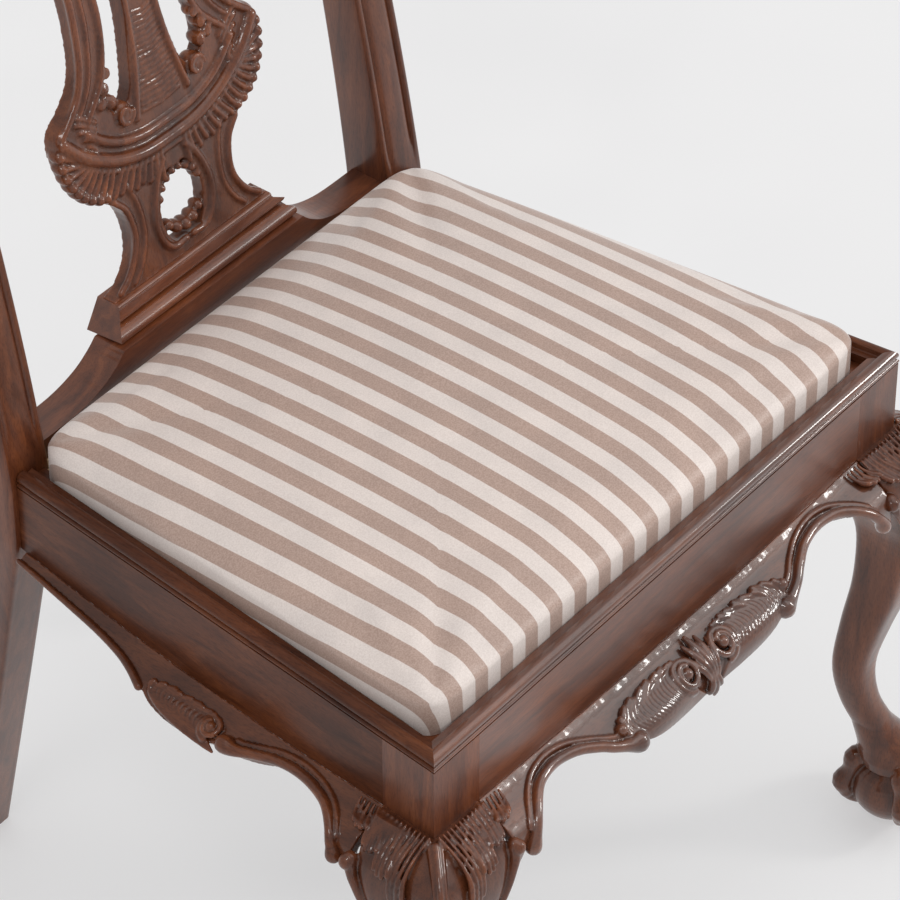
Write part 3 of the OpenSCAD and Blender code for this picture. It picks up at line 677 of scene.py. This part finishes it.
def front_leg():
    s = Soup()
    zs = np.concatenate([np.linspace(388, 300, 24), np.linspace(294, 70, 34)])
    ang = np.linspace(0, 2 * np.pi, 56, endpoint=False)
    rings = []
    for z in zs:
        o, i = float(leg_out(z)), float(leg_in(z))
        c, h = (i - o) / 2, (i + o) / 2
        e = np.interp(z, [70, 120, 157, 235, 300, 350, 392], [2.2, 2.5, 3.0, 4.2, 6.0, 9.0, 12.0])
        cs, sn = np.cos(ang), np.sin(ang)
        x = c + h * np.sign(cs) * np.abs(cs) ** (2 / e)
        y = c + h * np.sign(sn) * np.abs(sn) ** (2 / e)
        rings.append(np.stack([-HALF_F + x, y, np.full(len(x), z)], 1))
    s.rings(rings)
    # ball and claw
    bx, by, bz, R = -HALF_F - 14.0, -14.0, 32.5, 33.0
    s.ball((bx, by, bz), R, n=22)
    # the palm spreads from the ankle over the top of the ball
    s.rings([np.stack([-HALF_F + c + r * np.cos(ang), c + r * np.sin(ang), np.full(len(ang), z)], 1)
             for z, c, r in ((114, 5, 12), (104, 2, 14.6), (94, -1.5, 17), (84, -5.5, 20), (75, -9.5, 23.5),
                             (66, -12.5, 27), (57, -14, 27))])
    for k in range(4):
        w = math.radians(45 + 90 * k)
        pts, rad = [], []
        for f in np.linspace(0, 1, 26):
            polar = math.radians(14 + 118 * f)
            rr = (R + 3.2 + 3.4 * math.exp(-((f - 0.30) / 0.08) ** 2)
                  + 2.8 * math.exp(-((f - 0.62) / 0.08) ** 2))
            if f > 0.8:
                rr -= 3.2 * (f - 0.8) / 0.2
            rise = 18 * max(0, 0.22 - f) / 0.22
            lean = 9 * max(0, 0.24 - f) / 0.24             # back to the ankle's own middle
            reach = rr * math.sin(polar) * min(1, 0.3 + 0.7 * f / 0.24)
            pts.append((bx + lean + reach * math.cos(w), by + lean + reach * math.sin(w),
                        max(5.0, bz + rr * math.cos(polar) + rise)))
            rad.append(6.4 + 2.6 * math.exp(-((f - 0.30) / 0.10) ** 2)
                       + 2.2 * math.exp(-((f - 0.62) / 0.09) ** 2) - 4.6 * max(0, (f - 0.76) / 0.24))
        s.tube(np.array(pts), np.array(rad), ring=14)
    # knee leaves, and the stem along the arris
    # the knee stands a little proud of the aprons' flare just under the crease
    proud = lambda p: 1.6 * np.exp(-((p[:, 1] - 14) / 11) ** 2)
    fan(s, lambda p, lift: on_front(p - np.array([HALF_F, 0]), lift + proud(p)))
    fan(s, lambda p, lift: on_side(p, lift + proud(p)))
    for off, r in ((0, 2.6), (5.2, 2.0), (-5.2, 2.0)):
        zz = np.linspace(389, 305, 26)
        o = leg_out(zz)
        w = np.linspace(1, 0.45, 26)
        s.tube(np.stack([-HALF_F - o - 0.2 + max(0, off) * w, -o - 0.2 + max(0, -off) * w, zz], 1),
               np.linspace(r, r * 0.55, 26), ring=10)
    # ears beside the knee that run down the leg's inner edges
    for place in (knee_front, knee_side):
        path = spline([(47, 366), (44, 356), (39, 347), (32, 333), (26, 318), (19, 300)], 6)
        n = len(path)
        t = np.linspace(0, 1, n)
        s.tube(np.concatenate([place(path[i:i + 1], 0.4 - 2.6 * t[i]) for i in range(n)]),
               4.4 * (1 - 0.6 * t) + 1.2 * np.exp(-(t / 0.08) ** 2), ring=12)
        s.ball(place(np.array([[48, 365.0]]), 2.2)[0], 6.0)
    ob = fuse(s.build("front_leg_carved"), 0.9, 1, 0.4)
    co = coords(ob)
    co[:, 2] = np.maximum(co[:, 2], 0.0)
    set_coords(ob, co)
    return ob


def leg_post():
    """The square post above the knee, with faces along both rails."""
    s = Soup()
    cs, sn = math.cos(SLANT), math.sin(SLANT)
    plan = np.array([(0.3, 0.3), (47.9, 0.0), (47.9, 36), (41, 47.6), (47.9 * sn, 47.9 * cs)])
    rings = []
    for z in (RAIL_END - 6, RAIL_TOP):
        rings.append(np.stack([-HALF_F + plan[:, 0], plan[:, 1], np.full(5, z)], 1))
    s.rings(rings)
    ob = s.build("leg_post")
    return ob


def join(obs, name):
    bm = bmesh.new()
    for o in obs:
        bm.from_mesh(o.data)
    me = bpy.data.meshes.new(name)
    bm.to_mesh(me)
    bm.free()
    smooth = [p.use_smooth for o in obs for p in o.data.polygons]
    for o in obs:
        old = o.data
        bpy.data.objects.remove(o)
        bpy.data.meshes.remove(old)
    ob = bpy.data.objects.new(name, me)
    bpy.context.scene.collection.objects.link(ob)
    me.polygons.foreach_set("use_smooth", smooth)
    return ob


# ---------------------------------------------------------------- knee blocks

def knee_block_front():
    s = Soup()
    us = np.linspace(-220.2, -184, 14)
    low = lambda u: float(np.interp(u, [-220.2, -212, -203, -194, -184], [62, 52, 42, 32, 24]))
    shell(s, on_front, us, low, 9.0, 16)
    return fuse(s.build("knee_block_front"), 1.1, 1, 0.4)


def knee_block_side():
    s = Soup()
    us = np.linspace(47.8, 84, 14)
    low = lambda u: float(np.interp(u, [47.8, 56, 64, 74, 84], [60, 50, 40, 29, 22]))
    shell(s, on_side, us, low, 9.0, 16)
    return fuse(s.build("knee_block_side"), 1.1, 1, 0.4)


# ---------------------------------------------------------------- rim mouldings

def rim_section():
    """(inset from the rail's face, z): bead, groove, bold nose and a flat ledge."""
    top, z0 = RIM_TOP, RAIL_TOP
    pts = [(16, z0), (1.2, z0), (0.6, z0 + 0.2)]
    pts += [(1.4 - 1.5 * math.cos(a), z0 + 1.9 + 1.7 * math.sin(a)) for a in np.linspace(-1.4, 1.5, 9)]
    pts += [(2.1, z0 + 4.0), (2.3, z0 + 4.6)]
    pts += [(5.6 - 5.3 * math.cos(a), z0 + 7.1 + 4.4 * math.sin(a)) for a in np.linspace(-0.75, 2.2, 16)]
    pts += [(9.6, top - 4.4), (10.6, top - 5.0), (16, top - 4.6)]
    return np.array(pts)


def rim_corner(inset):
    """Where the front line and the left line, both set in this far, cross."""
    x = -HALF_F + (inset * SIDE_LEN + (HALF_F - HALF_B) * inset) / DEPTH
    return x, inset


def rims():
    sec = rim_section()
    made = []
    left = np.array([(*rim_corner(d), z) for d, z in sec])
    right = left * np.array([-1, 1, 1])
    s = Soup()
    s.rings([left * (1 - t) + right * t for t in np.linspace(0, 1, 24)])
    made.append(s.build("rim_front"))
    rear = []
    for d, z in sec:
        x = -HALF_F + (d * SIDE_LEN + (HALF_F - HALF_B) * DEPTH) / DEPTH
        rear.append((x, DEPTH, z))
    rear = np.array(rear)
    s = Soup()
    s.rings([left * (1 - t) + rear * t for t in np.linspace(0, 1, 20)])
    made.append(s.build("rim_left"))
    for o in made:
        flat_ends(outward(o))
    return made


def flat_ends(ob, angle=35):
    """Smooth shading that breaks at sharp edges."""
    shade(ob)
    bm = bmesh.new()
    bm.from_mesh(ob.data)
    for e in bm.edges:
        if len(e.link_faces) == 2 and e.calc_face_angle(0) > math.radians(angle):
            e.smooth = False
    bm.to_mesh(ob.data)
    bm.free()


# ---------------------------------------------------------------- back

POST_TOP = 925.0


def post_face(z):
    z = np.asarray(z, float)
    up, down = z - RAIL_TOP, (RAIL_END - z) / RAIL_END
    return DEPTH + np.where(up > 0, 0.14 * up + 0.0002 * up * up, 111 * np.maximum(0, down) ** 1.05)


def post_inner(z):
    z = np.asarray(z, float)
    return (190 - 43 * (np.maximum(0, RAIL_END - z) / RAIL_END) ** 1.1
            + 24 * (np.maximum(0, z - 620) / (POST_TOP - 620)) ** 2)


def post_size(z):
    z = np.asarray(z, float)
    t = (z - RAIL_TOP) / (POST_TOP - RAIL_TOP)
    b = z / RAIL_TOP
    return (np.where(z > RAIL_TOP, 40 - 6 * t, 34 + 6 * b), np.where(z > RAIL_TOP, 42 - 16 * t, 36 + 6 * b))


def splat_face(z):
    return post_face(z) + 20


def back_post():
    """Left post. Above the seat its front is moulded: a bead, a hollow and a rounded field."""
    s = Soup()
    zs = np.concatenate([np.linspace(0, RAIL_END, 22), np.linspace(RAIL_END + 6, RIM_TOP, 5),
                         np.linspace(RIM_TOP + 6, POST_TOP, 46)])
    rings = []
    for z in zs:
        w, d = (float(v) for v in post_size(z))
        xi, y0 = -float(post_inner(z)), float(post_face(z))
        m = float(np.clip((z - RIM_TOP - 8) / 22, 0, 1))
        # half the section, from the back round to the middle of the face:
        # u in from an edge, v back from the face
        half = [(2.5, d), (0.8, d - 0.8), (0.0, d - 2.5), (0.0, 8), (0.0, 2.2 + 0.3 * m),
                (0.7, 0.9), (2.0, 0.25), (4.0, 0.1 + 0.2 * m), (5.4, 0.15 + 1.0 * m),
                (6.2, 0.15 + 2.6 * m), (7.2, 0.1 + 2.0 * m), (9.5, 0.05 + 0.6 * m), (13, 0.1 * m)]
        prof = half + [(w / 2, 0.0)] + [(w - u, v) for u, v in reversed(half)]
        rings.append(np.array([(xi - u, y0 + v, z) for u, v in prof]))
    s.rings(rings)
    ob = s.build("back_post_left_wood")
    outward(ob)
    flat_ends(ob, 50)
    return ob


def on_splat(xz, lift=0.0):
    xz = np.asarray(xz, float).reshape(-1, 2)
    return np.stack([xz[:, 0], splat_face(xz[:, 1]) - lift, xz[:, 1]], 1)


def reed(soup, pts, r, lift):
    soup.tube(on_splat(spline(pts, 6), lift), r, ring=10)


def splat():
    s = Soup()
    s.node("splat")
    for m in (-1, 1):
        q = lambda pts: [(m * x, z) for x, z in pts]
        # crescent: a wide smooth band with a reed above it
        reed(s, q([(0, 601), (25, 602), (46, 607), (64, 615), (84, 628), (100, 645)]), 5.2, 0.6)
        reed(s, q([(0, 614), (24, 615), (44, 620), (60, 628), (76, 641)]), 3.6, 0.6)
        reed(s, q([(0, 592.5), (25, 593.5), (48, 599), (68, 608), (88, 622)]), 1.8, 0.4)
        # outer strap: two reeds and a bead between them
        reed(s, q([(99, 650), (86, 661), (75, 673), (68, 690), (64.5, 712), (63, 740), (67, 790), (76, 840),
                   (84, 880), (82, 905)]), 3.0, 0.6)
        reed(s, q([(72, 650), (62, 660), (52, 672), (45, 690), (41, 715), (42, 745), (45, 790),
                   (54, 838), (62, 870)]), 2.6, 0.6)
        reed(s, q([(84, 652), (72, 663), (62, 678), (56, 700), (53, 730), (56, 790), (66, 842)]), 1.6, 0.3)
        # middle strap edges
        reed(s, q([(27, 628), (22, 648), (17, 672), (14, 704), (12.5, 740), (14, 790),
                   (21, 840), (32, 876)]), 2.6, 0.5)
        # foot: long reeds by the outer edge and round the low opening
        reed(s, q([(76, 513), (64, 522), (54.5, 537), (52, 552), (56, 570), (66, 582)]), 2.6, 0.4)
        reed(s, q([(60, 513), (50, 524), (43, 540), (42, 556), (45, 574), (52, 588)]), 1.8, 0.3)
        reed(s, q([(4, 519), (17, 519), (26, 528), (30, 545), (27, 562), (20, 578), (12, 588)]), 2.8, 0.6)
        # fan of leaves under the crescent
        for i, (x, z) in enumerate([(14, 574), (20, 577), (27, 579), (34, 582), (41, 581), (48, 583), (56, 585),
                                    (63, 586), (70, 588), (77, 590), (84, 594), (90, 599), (95, 605), (99, 612),
                                    (102, 620), (104, 629), (104, 638)]):
            e = (x * 0.72 + (2 if i < 8 else 8), 598 + 0.0022 * x * x)
            p = bezier((m * x, z), (m * (x * 0.86 + 1), (z + e[1]) / 2 - 1), (m * e[0], e[1]), 8)
            s.tube(on_splat(p, 0.8), np.linspace(2.4, 1.6, 8), ring=8)
            if i > 7:
                s.ball(on_splat([(m * (x + 0.6), z)], -3.0)[0], 4.6, (1, 1.6, 1), 8)
        # scrolls that stand in the openings, and leaf scrolls at the foot of the strap
        s.ball(on_splat([(m * 38, 638)], -4.5)[0], 8.2, (1, 1.05, 1), 12)
        sp = spiral(m * 38, 638, 7.6, 2.6, 0, m * 1.4, 26)
        s.tube(on_splat(sp, 3.0), np.linspace(2.0, 1.4, 26), ring=8)
        for cx, cz, r in ((48, 652, 5.4), (52, 664, 5.0), (47, 674, 4.2), (57, 655, 4.6)):
            s.ball(on_splat([(m * cx, cz)], -3.5)[0], r, (1, 1.5, 1), 10)
            sp = spiral(m * cx, cz, r * 0.85, 1.2, 1.0, m * 1.2, 16)
            s.tube(on_splat(sp, 1.6), 1.3, ring=8)
        for k in range(5):
            p = bezier((m * (88 - 3 * k), 660 - 7 * k), (m * (78 - k), 656 - 6 * k),
                       (m * (66 + k), 646 - 5 * k), 8)
            s.tube(on_splat(p, 0.7), 1.7, ring=8)
        # beads in the foot of the low opening
        for bx, bz, r in ((0, 527, 5.2), (8.5, 529, 4.8), (15.5, 534, 4.2)):
            s.ball(on_splat([(m * bx, bz)], -5.0)[0], r, (1, 1.5, 1), 10)
        # scallops over the low opening
        for bx, bz in ((3.5, 573), (10, 570), (16, 565), (20, 558)):
            s.ball(on_splat([(m * bx, bz)], -5.0)[0], 3.6, (1, 1.8, 1), 8)
    # hatched field of the middle strap
    for z in np.arange(628, 700, 4.2):
        h = float(np.interp(z, [628, 700], [20, 10]))
        s.tube(on_splat([(-h, z + 2), (0, z), (h, z + 2)], -0.1), 1.15, ring=6)
    ob = s.build("splat_carved")
    return fuse(ob, 1.15, 1, 0.4)


def shoe():
    s = Soup()
    y0, y1, z0, top = DEPTH + 12, float(splat_face(SHOE_TOP)) + 16, SHOE_Z, SHOE_TOP
    sec = [(y1, z0), (y0 + 4.5, z0), (y0 + 2, z0 + 0.3)]
    sec += [(y0 + 5 - 5 * math.cos(a), z0 + 5 + 4.9 * math.sin(a)) for a in np.linspace(-1.2, 1.45, 12)]
    sec += [(y0 + 6.0, z0 + 10.4), (y0 + 6.0, z0 + 11.4)]
    sec += [(y0 + 12.5 - 6.3 * math.cos(a), z0 + 18.2 - 6.2 * math.sin(a))
            for a in np.linspace(1.45, 0.1, 8)]
    sec += [(y0 + 12.8, z0 + 18.6), (y0 + 12.8, z0 + 19.6)]
    sec += [(y0 + 15.2 - 2.2 * math.cos(a), top - 1.6 + 1.6 * math.sin(a)) for a in np.linspace(-0.4, 1.5, 6)]
    sec += [(y1, top)]
    sec = np.array(sec)
    rings = []
    front = np.maximum(0, sec[:, 0] - y0)
    half = np.where(sec[:, 0] > y1 - 1, np.where(sec[:, 1] > z0 + 5, SHOE_HALF - SHOE_END, SHOE_HALF),
                    SHOE_HALF - np.minimum(SHOE_END, front))
    for t in np.linspace(-1, 1, 20):
        rings.append(np.stack([half * t, sec[:, 0], sec[:, 1]], 1))
    s.rings(rings)
    ob = s.build("shoe_moulded")
    outward(ob)
    flat_ends(ob, 40)
    return ob


def crest():
    s = Soup()
    s.node("crest_rail")

    def place(p, lift):
        p = np.asarray(p, float).reshape(-1, 2)
        return np.stack([p[:, 0], post_face(p[:, 1]) + 1 - lift, p[:, 1]], 1)
    for m in (-1, 1):
        q = lambda pts: [(m * x, z) for x, z in pts]
        top = spline(q([(34, 992), (64, 981), (110, 969), (160, 973), (210, 985), (244, 988), (262, 978),
                        (262, 964), (250, 956), (238, 961), (239, 971), (247, 972)]), 8)
        s.tube(place(top, 0.3), np.linspace(2.6, 3.4, len(top)), ring=10)
        low = spline(q([(60, 936), (96, 940), (140, 948), (186, 948), (214, 944), (236, 948)]), 8)
        s.tube(place(low, 0.2), 2.0, ring=10)
        for i in range(9):
            x = 22 + 7.5 * i
            tip = (m * (x + 14), 982 - 1.9 * i - 5 * (i % 3))
            p = bezier(tip, (m * (x + 2), 968 - 1.2 * i), (m * x * 0.7, 946), 9)
            s.tube(place(p, 1.4), np.linspace(2.6, 1.7, 9), ring=8)
    for i in range(-3, 4):
        p = bezier((i * 7.5, 996 - 1.6 * abs(i) ** 1.5), (i * 6, 975), (i * 1.4, 944), 9)
        s.tube(place(p, 2.4), np.linspace(3.4, 1.8, 9), ring=8)
    s.ball(place([(0, 942)], 0.5)[0], 6.5, (1.6, 0.7, 1), 10)
    return fuse(s.build("crest_carved"), 1.5, 2, 0.5)


# ---------------------------------------------------------------- cushion

CUSHION_IN = 17.0             # from the rails' faces to the cover
CUSHION_REAR = DEPTH - 3.0
WALL_TOP = RAIL_TOP + 28
PAD_BOTTOM = 24.15            # above the rails
CORNER = 20                   # how square the seat's corners are
STEP_IN = 1.25                # the cover's thickness round the wooden frame


def seat_plan(U, V, square):
    """x and y for a place in the seat's plan, -1 to 1 each way. A big square has tight corners."""
    k = (np.abs(U) ** square + np.abs(V) ** square) ** (1 / square)
    g = np.maximum(np.abs(U), np.abs(V)) / np.maximum(k, 1e-6)
    y = CUSHION_IN + (V * g + 1) / 2 * (CUSHION_REAR - CUSHION_IN)
    half = HALF_F - y * (HALF_F - HALF_B) / DEPTH - CUSHION_IN / math.cos(SLANT)
    return U * g * half, y


def cushion_sheet(nx=88, ny=72):
    """The cover before it is filled: crowned top, rolled shoulders and upright walls."""
    def spaced(n):
        t = np.linspace(-1, 1, n + 1)
        return 0.6 * t + 0.4 * np.sin(np.pi / 2 * t)
    U, V = np.meshgrid(spaced(nx), spaced(ny), indexing="ij")
    x, y = seat_plan(U, V, CORNER)
    ex = np.maximum(0.01, (1 - np.abs(U)) * 250)
    ey = np.maximum(0.01, (1 - np.abs(V)) * (CUSHION_REAR - CUSHION_IN) / 2)
    t = np.clip((ex ** -3 + ey ** -3) ** (-1 / 3) / 26, 0, 1)
    z = (WALL_TOP + 11 * (1 - (1 - t) ** 2.3) ** 0.6
         + 15 * (1 - np.abs(U) ** 2.2) * (1 - np.abs(V) ** 2.2))
    verts = [np.stack([x, y, z], -1).reshape(-1, 3)]
    at = lambda i, j: i * (ny + 1) + j
    faces = [(at(i, j), at(i + 1, j), at(i + 1, j + 1), at(i, j + 1)) for i in range(nx) for j in range(ny)]
    edge = ([(i, 0) for i in range(nx)] + [(nx, j) for j in range(ny)]
            + [(i, ny) for i in range(nx, 0, -1)] + [(0, j) for j in range(ny, 0, -1)])
    ring = [at(*e) for e in edge]
    eu, ev = np.array([U[e] for e in edge]), np.array([V[e] for e in edge])
    wx, wy = seat_plan(eu, ev, CORNER)
    for dz in (25.5, 21, 14, 7, 0.2):
        base = sum(len(v) for v in verts)
        verts.append(np.stack([wx, wy, np.full(len(wx), RAIL_TOP + dz)], 1))
        low = list(range(base, base + len(wx)))
        faces += [(ring[a], low[a], low[a - len(low) + 1], ring[a - len(low) + 1]) for a in range(len(low))]
        ring = low
    sideways = np.abs(eu) ** 20 / (np.abs(eu) ** 20 + np.abs(ev) ** 20)
    return np.concatenate(verts), faces, (nx, ny), [at(*e) for e in edge], sideways


def inflate(ob, rest):
    """Fills the cover: cloth under pressure, held where the frame is."""
    group = ob.vertex_groups.new(name="pin")
    for i, a in enumerate(np.clip((RAIL_TOP + 30 - rest[:, 2]) / 8, 0, 1)):
        if a > 0:
            group.add([i], float(a), "REPLACE")
    cl = ob.modifiers.new("cloth", "CLOTH")
    st = cl.settings
    st.use_pressure, st.uniform_pressure_force = True, 2.6
    st.effector_weights.gravity = 0
    st.vertex_group_mass = "pin"
    st.tension_stiffness = st.compression_stiffness = 30
    st.shear_stiffness, st.bending_stiffness, st.quality = 20, 4, 6
    cl.collision_settings.use_collision = False
    for f in range(1, 15):
        bpy.context.scene.frame_set(f)
    got = ob.evaluated_get(bpy.context.evaluated_depsgraph_get()).data
    co = np.zeros(len(got.vertices) * 3)
    got.vertices.foreach_get("co", co)
    ob.modifiers.clear()
    bpy.context.scene.frame_set(1)
    move = co.reshape(-1, 3) * 1000 - np.array([0, FACE_Y, 0]) - rest
    size = np.linalg.norm(move, axis=1)[:, None] + 1e-9
    set_coords(ob, rest + move * np.tanh(size / 3) * 3 / size)


def cushion():
    verts, faces, (nx, ny), rim, sideways = cushion_sheet()
    ob = outward(make("cushion", verts, faces))
    rest = coords(ob)
    inflate(ob, rest)
    co = coords(ob)
    # the stripes follow the cloth: its own width across the top, then down the side walls
    top = co[:(nx + 1) * (ny + 1)].reshape(nx + 1, ny + 1, 3)
    step = np.hypot(np.diff(top[:, :, 0], axis=0), np.diff(top[:, :, 2], axis=0))
    across = np.concatenate([np.zeros((1, ny + 1)), np.cumsum(step, 0)])
    across = (across - across[nx // 2]).ravel()
    stripe = [across]
    walls = co[len(across):].reshape(-1, len(rim), 3)
    for wall in walls:
        drop = co[rim][:, 2] - wall[:, 2]
        stripe.append(across[rim] + np.sign(co[rim][:, 0]) * drop * sideways)
    at = ob.data.attributes.new("stripe", "FLOAT", "POINT")
    at.data.foreach_set("value", (np.concatenate(stripe) / STRIPE + 20.25).astype(np.float32))
    sub = ob.modifiers.new("fine", "SUBSURF")
    sub.levels = sub.render_levels = 1
    bake_modifiers(ob)
    return close_cushion(ob)


def close_cushion(ob):
    """Turns a hem in under the frame and closes the form with the pad's flat bottom."""
    bm = bmesh.new()
    bm.from_mesh(ob.data)
    first = next(e for e in bm.edges if e.is_boundary)
    loop, v = [first.verts[0]], first.verts[1]
    while v is not loop[0]:
        loop.append(v)
        v = next(e.other_vert(v) for e in v.link_edges if e.is_boundary and e.other_vert(v) is not loop[-2])
    p = np.array([v.co for v in loop]) * 1000
    along = np.roll(p, -1, 0) - np.roll(p, 1, 0)
    inward = np.stack([-along[:, 1], along[:, 0]], 1)
    inward /= np.linalg.norm(inward, axis=1)[:, None]
    middle = p[:, :2].mean(0)
    inward *= np.sign(((middle - p[:, :2]) * inward).sum(1))[:, None]
    prev = loop
    for depth, z in ((16, 0.2), (16, 1.1), (STEP_IN, 1.1), (STEP_IN, PAD_BOTTOM), (16, PAD_BOTTOM)):
        q = p[:, :2] + inward * depth
        ring = [bm.verts.new((x / 1000, y / 1000, (RAIL_TOP + z) / 1000)) for x, y in q]
        for a in range(len(ring)):
            b = (a + 1) % len(ring)
            bm.faces.new((prev[a], prev[b], ring[b], ring[a]))
        prev = ring
    bm.faces.new(prev)
    bmesh.ops.recalc_face_normals(bm, faces=bm.faces)
    bm.to_mesh(ob.data)
    bm.free()
    flat_ends(ob, 60)
    return ob


# ---------------------------------------------------------------- build

def pair(left, right_name, mat, node):
    """Puts a piece in place on the left and its mirror image on the right."""
    right = mirrored(left, right_name)
    piece(left, mat, "chair", "mahogany", node + "_left")
    piece(right, mat, "chair", "mahogany", node + "_right")
    return left, right


def named(ob, name):
    ob.name = name
    return ob


carved_leg = front_leg()
carved_faces = len(carved_leg.data.polygons)
leg = join([carved_leg, leg_post()], "front_leg_left_carved")
for ob in pair(leg, "front_leg_right_carved", CARVED_Z, "front_leg"):
    ob.data.materials.append(WOOD_Z)
    for face in list(ob.data.polygons)[carved_faces:]:
        face.material_index = 1
piece(front_apron(), CARVED_X, "chair", "mahogany", "apron_front")
pair(side_apron(), "apron_right_carved", CARVED_Y_SHADED, "apron")
pair(named(knee_block_front(), "knee_block_front_left_carved"), "knee_block_front_right_carved",
     CARVED_X, "knee_block_front")
pair(named(knee_block_side(), "knee_block_side_left_carved"), "knee_block_side_right_carved",
     CARVED_Y_SHADED, "knee_block_side")
rim_front, rim_left = rims()
piece(rim_front, RIM_X, "chair", "mahogany", "seat_rim_front")
pair(rim_left, "rim_right", WOOD_Y_SHADED, "seat_rim")
pair(back_post(), "back_post_right_wood", WOOD_Z, "back_post")
piece(splat(), CARVED_Z, "chair", "mahogany", "splat")
piece(shoe(), WOOD_X, "chair", "mahogany", "shoe")
piece(crest(), CARVED_X, "chair", "mahogany", "crest_rail")
cu = cushion()
piece(cu, SATIN, "drop_in_seat", "satin", "seat_cover", "seat_pad")

# ---------------------------------------------------------------- stage

bpy.ops.mesh.primitive_plane_add(size=30, location=(0, 0, 0))
floor = bpy.context.object
floor.name = "floor"
pale = Look("pale_floor")
patches = pale.ramp(pale.noise(pale.object, Scale=3), (0.3, (0.36, 0.36, 0.362)), (0.7, grey(0.39)))
pale.put(Base_Color=patches, Roughness=0.55, Emission_Color=(1.0, 1.0, 1.01, 1),
         Emission_Strength=0.46)
dress(floor, pale.mat)

sc = bpy.context.scene
world = bpy.data.worlds.new("studio")
sc.world = world
world.use_nodes = True
bg = world.node_tree.nodes["Background"]
bg.inputs[0].default_value = (1.0, 0.99, 0.985, 1)
bg.inputs[1].default_value = 0.62


def area(name, loc, target, size, power, colour=(1, 1, 1)):
    l = bpy.data.lights.new(name, "AREA")
    l.shape, l.size, l.size_y = "RECTANGLE", size[0], size[1]
    l.energy, l.color = power, colour
    o = bpy.data.objects.new(name, l)
    sc.collection.objects.link(o)
    o.location = loc
    o.rotation_mode = "QUATERNION"
    o.rotation_quaternion = (Vector(loc) - Vector(target)).to_track_quat("Z", "Y")
    return o


area("front_right", (2.6, -2.4, 1.9), (0, 0, 0.4), (0.55, 0.9), 36, (1, 0.985, 0.96))
area("high_left", (-1.6, -0.6, 3.0), (0, 0, 0.4), (0.7, 0.5), 14)
sun = bpy.data.lights.new("sky_panel", "SUN")
sun.energy, sun.angle = 0.62, math.radians(50)
sun_ob = bpy.data.objects.new("sky_panel", sun)
sc.collection.objects.link(sun_ob)
sun_ob.rotation_euler = (math.radians(18), math.radians(20), 0)

cam_data = bpy.data.cameras.new("camera")
cam = bpy.data.objects.new("camera", cam_data)
sc.collection.objects.link(cam)
cam_data.sensor_width, cam_data.lens = 36.0, 197.8
az, el, dist = math.radians(-51.78), math.radians(40.54), 3.373
target = Vector((-0.0607, 0.150 + FACE_Y / 1000, 0.5075))
back = Vector((math.sin(az) * math.cos(el), -math.cos(az) * math.cos(el), math.sin(el)))
cam.location = target + back * dist
cam.rotation_mode = "QUATERNION"
cam.rotation_quaternion = back.to_track_quat("Z", "Y")
cam_data.clip_start, cam_data.clip_end = 0.05, 60
sc.camera = cam
sc.view_settings.view_transform = "Standard"
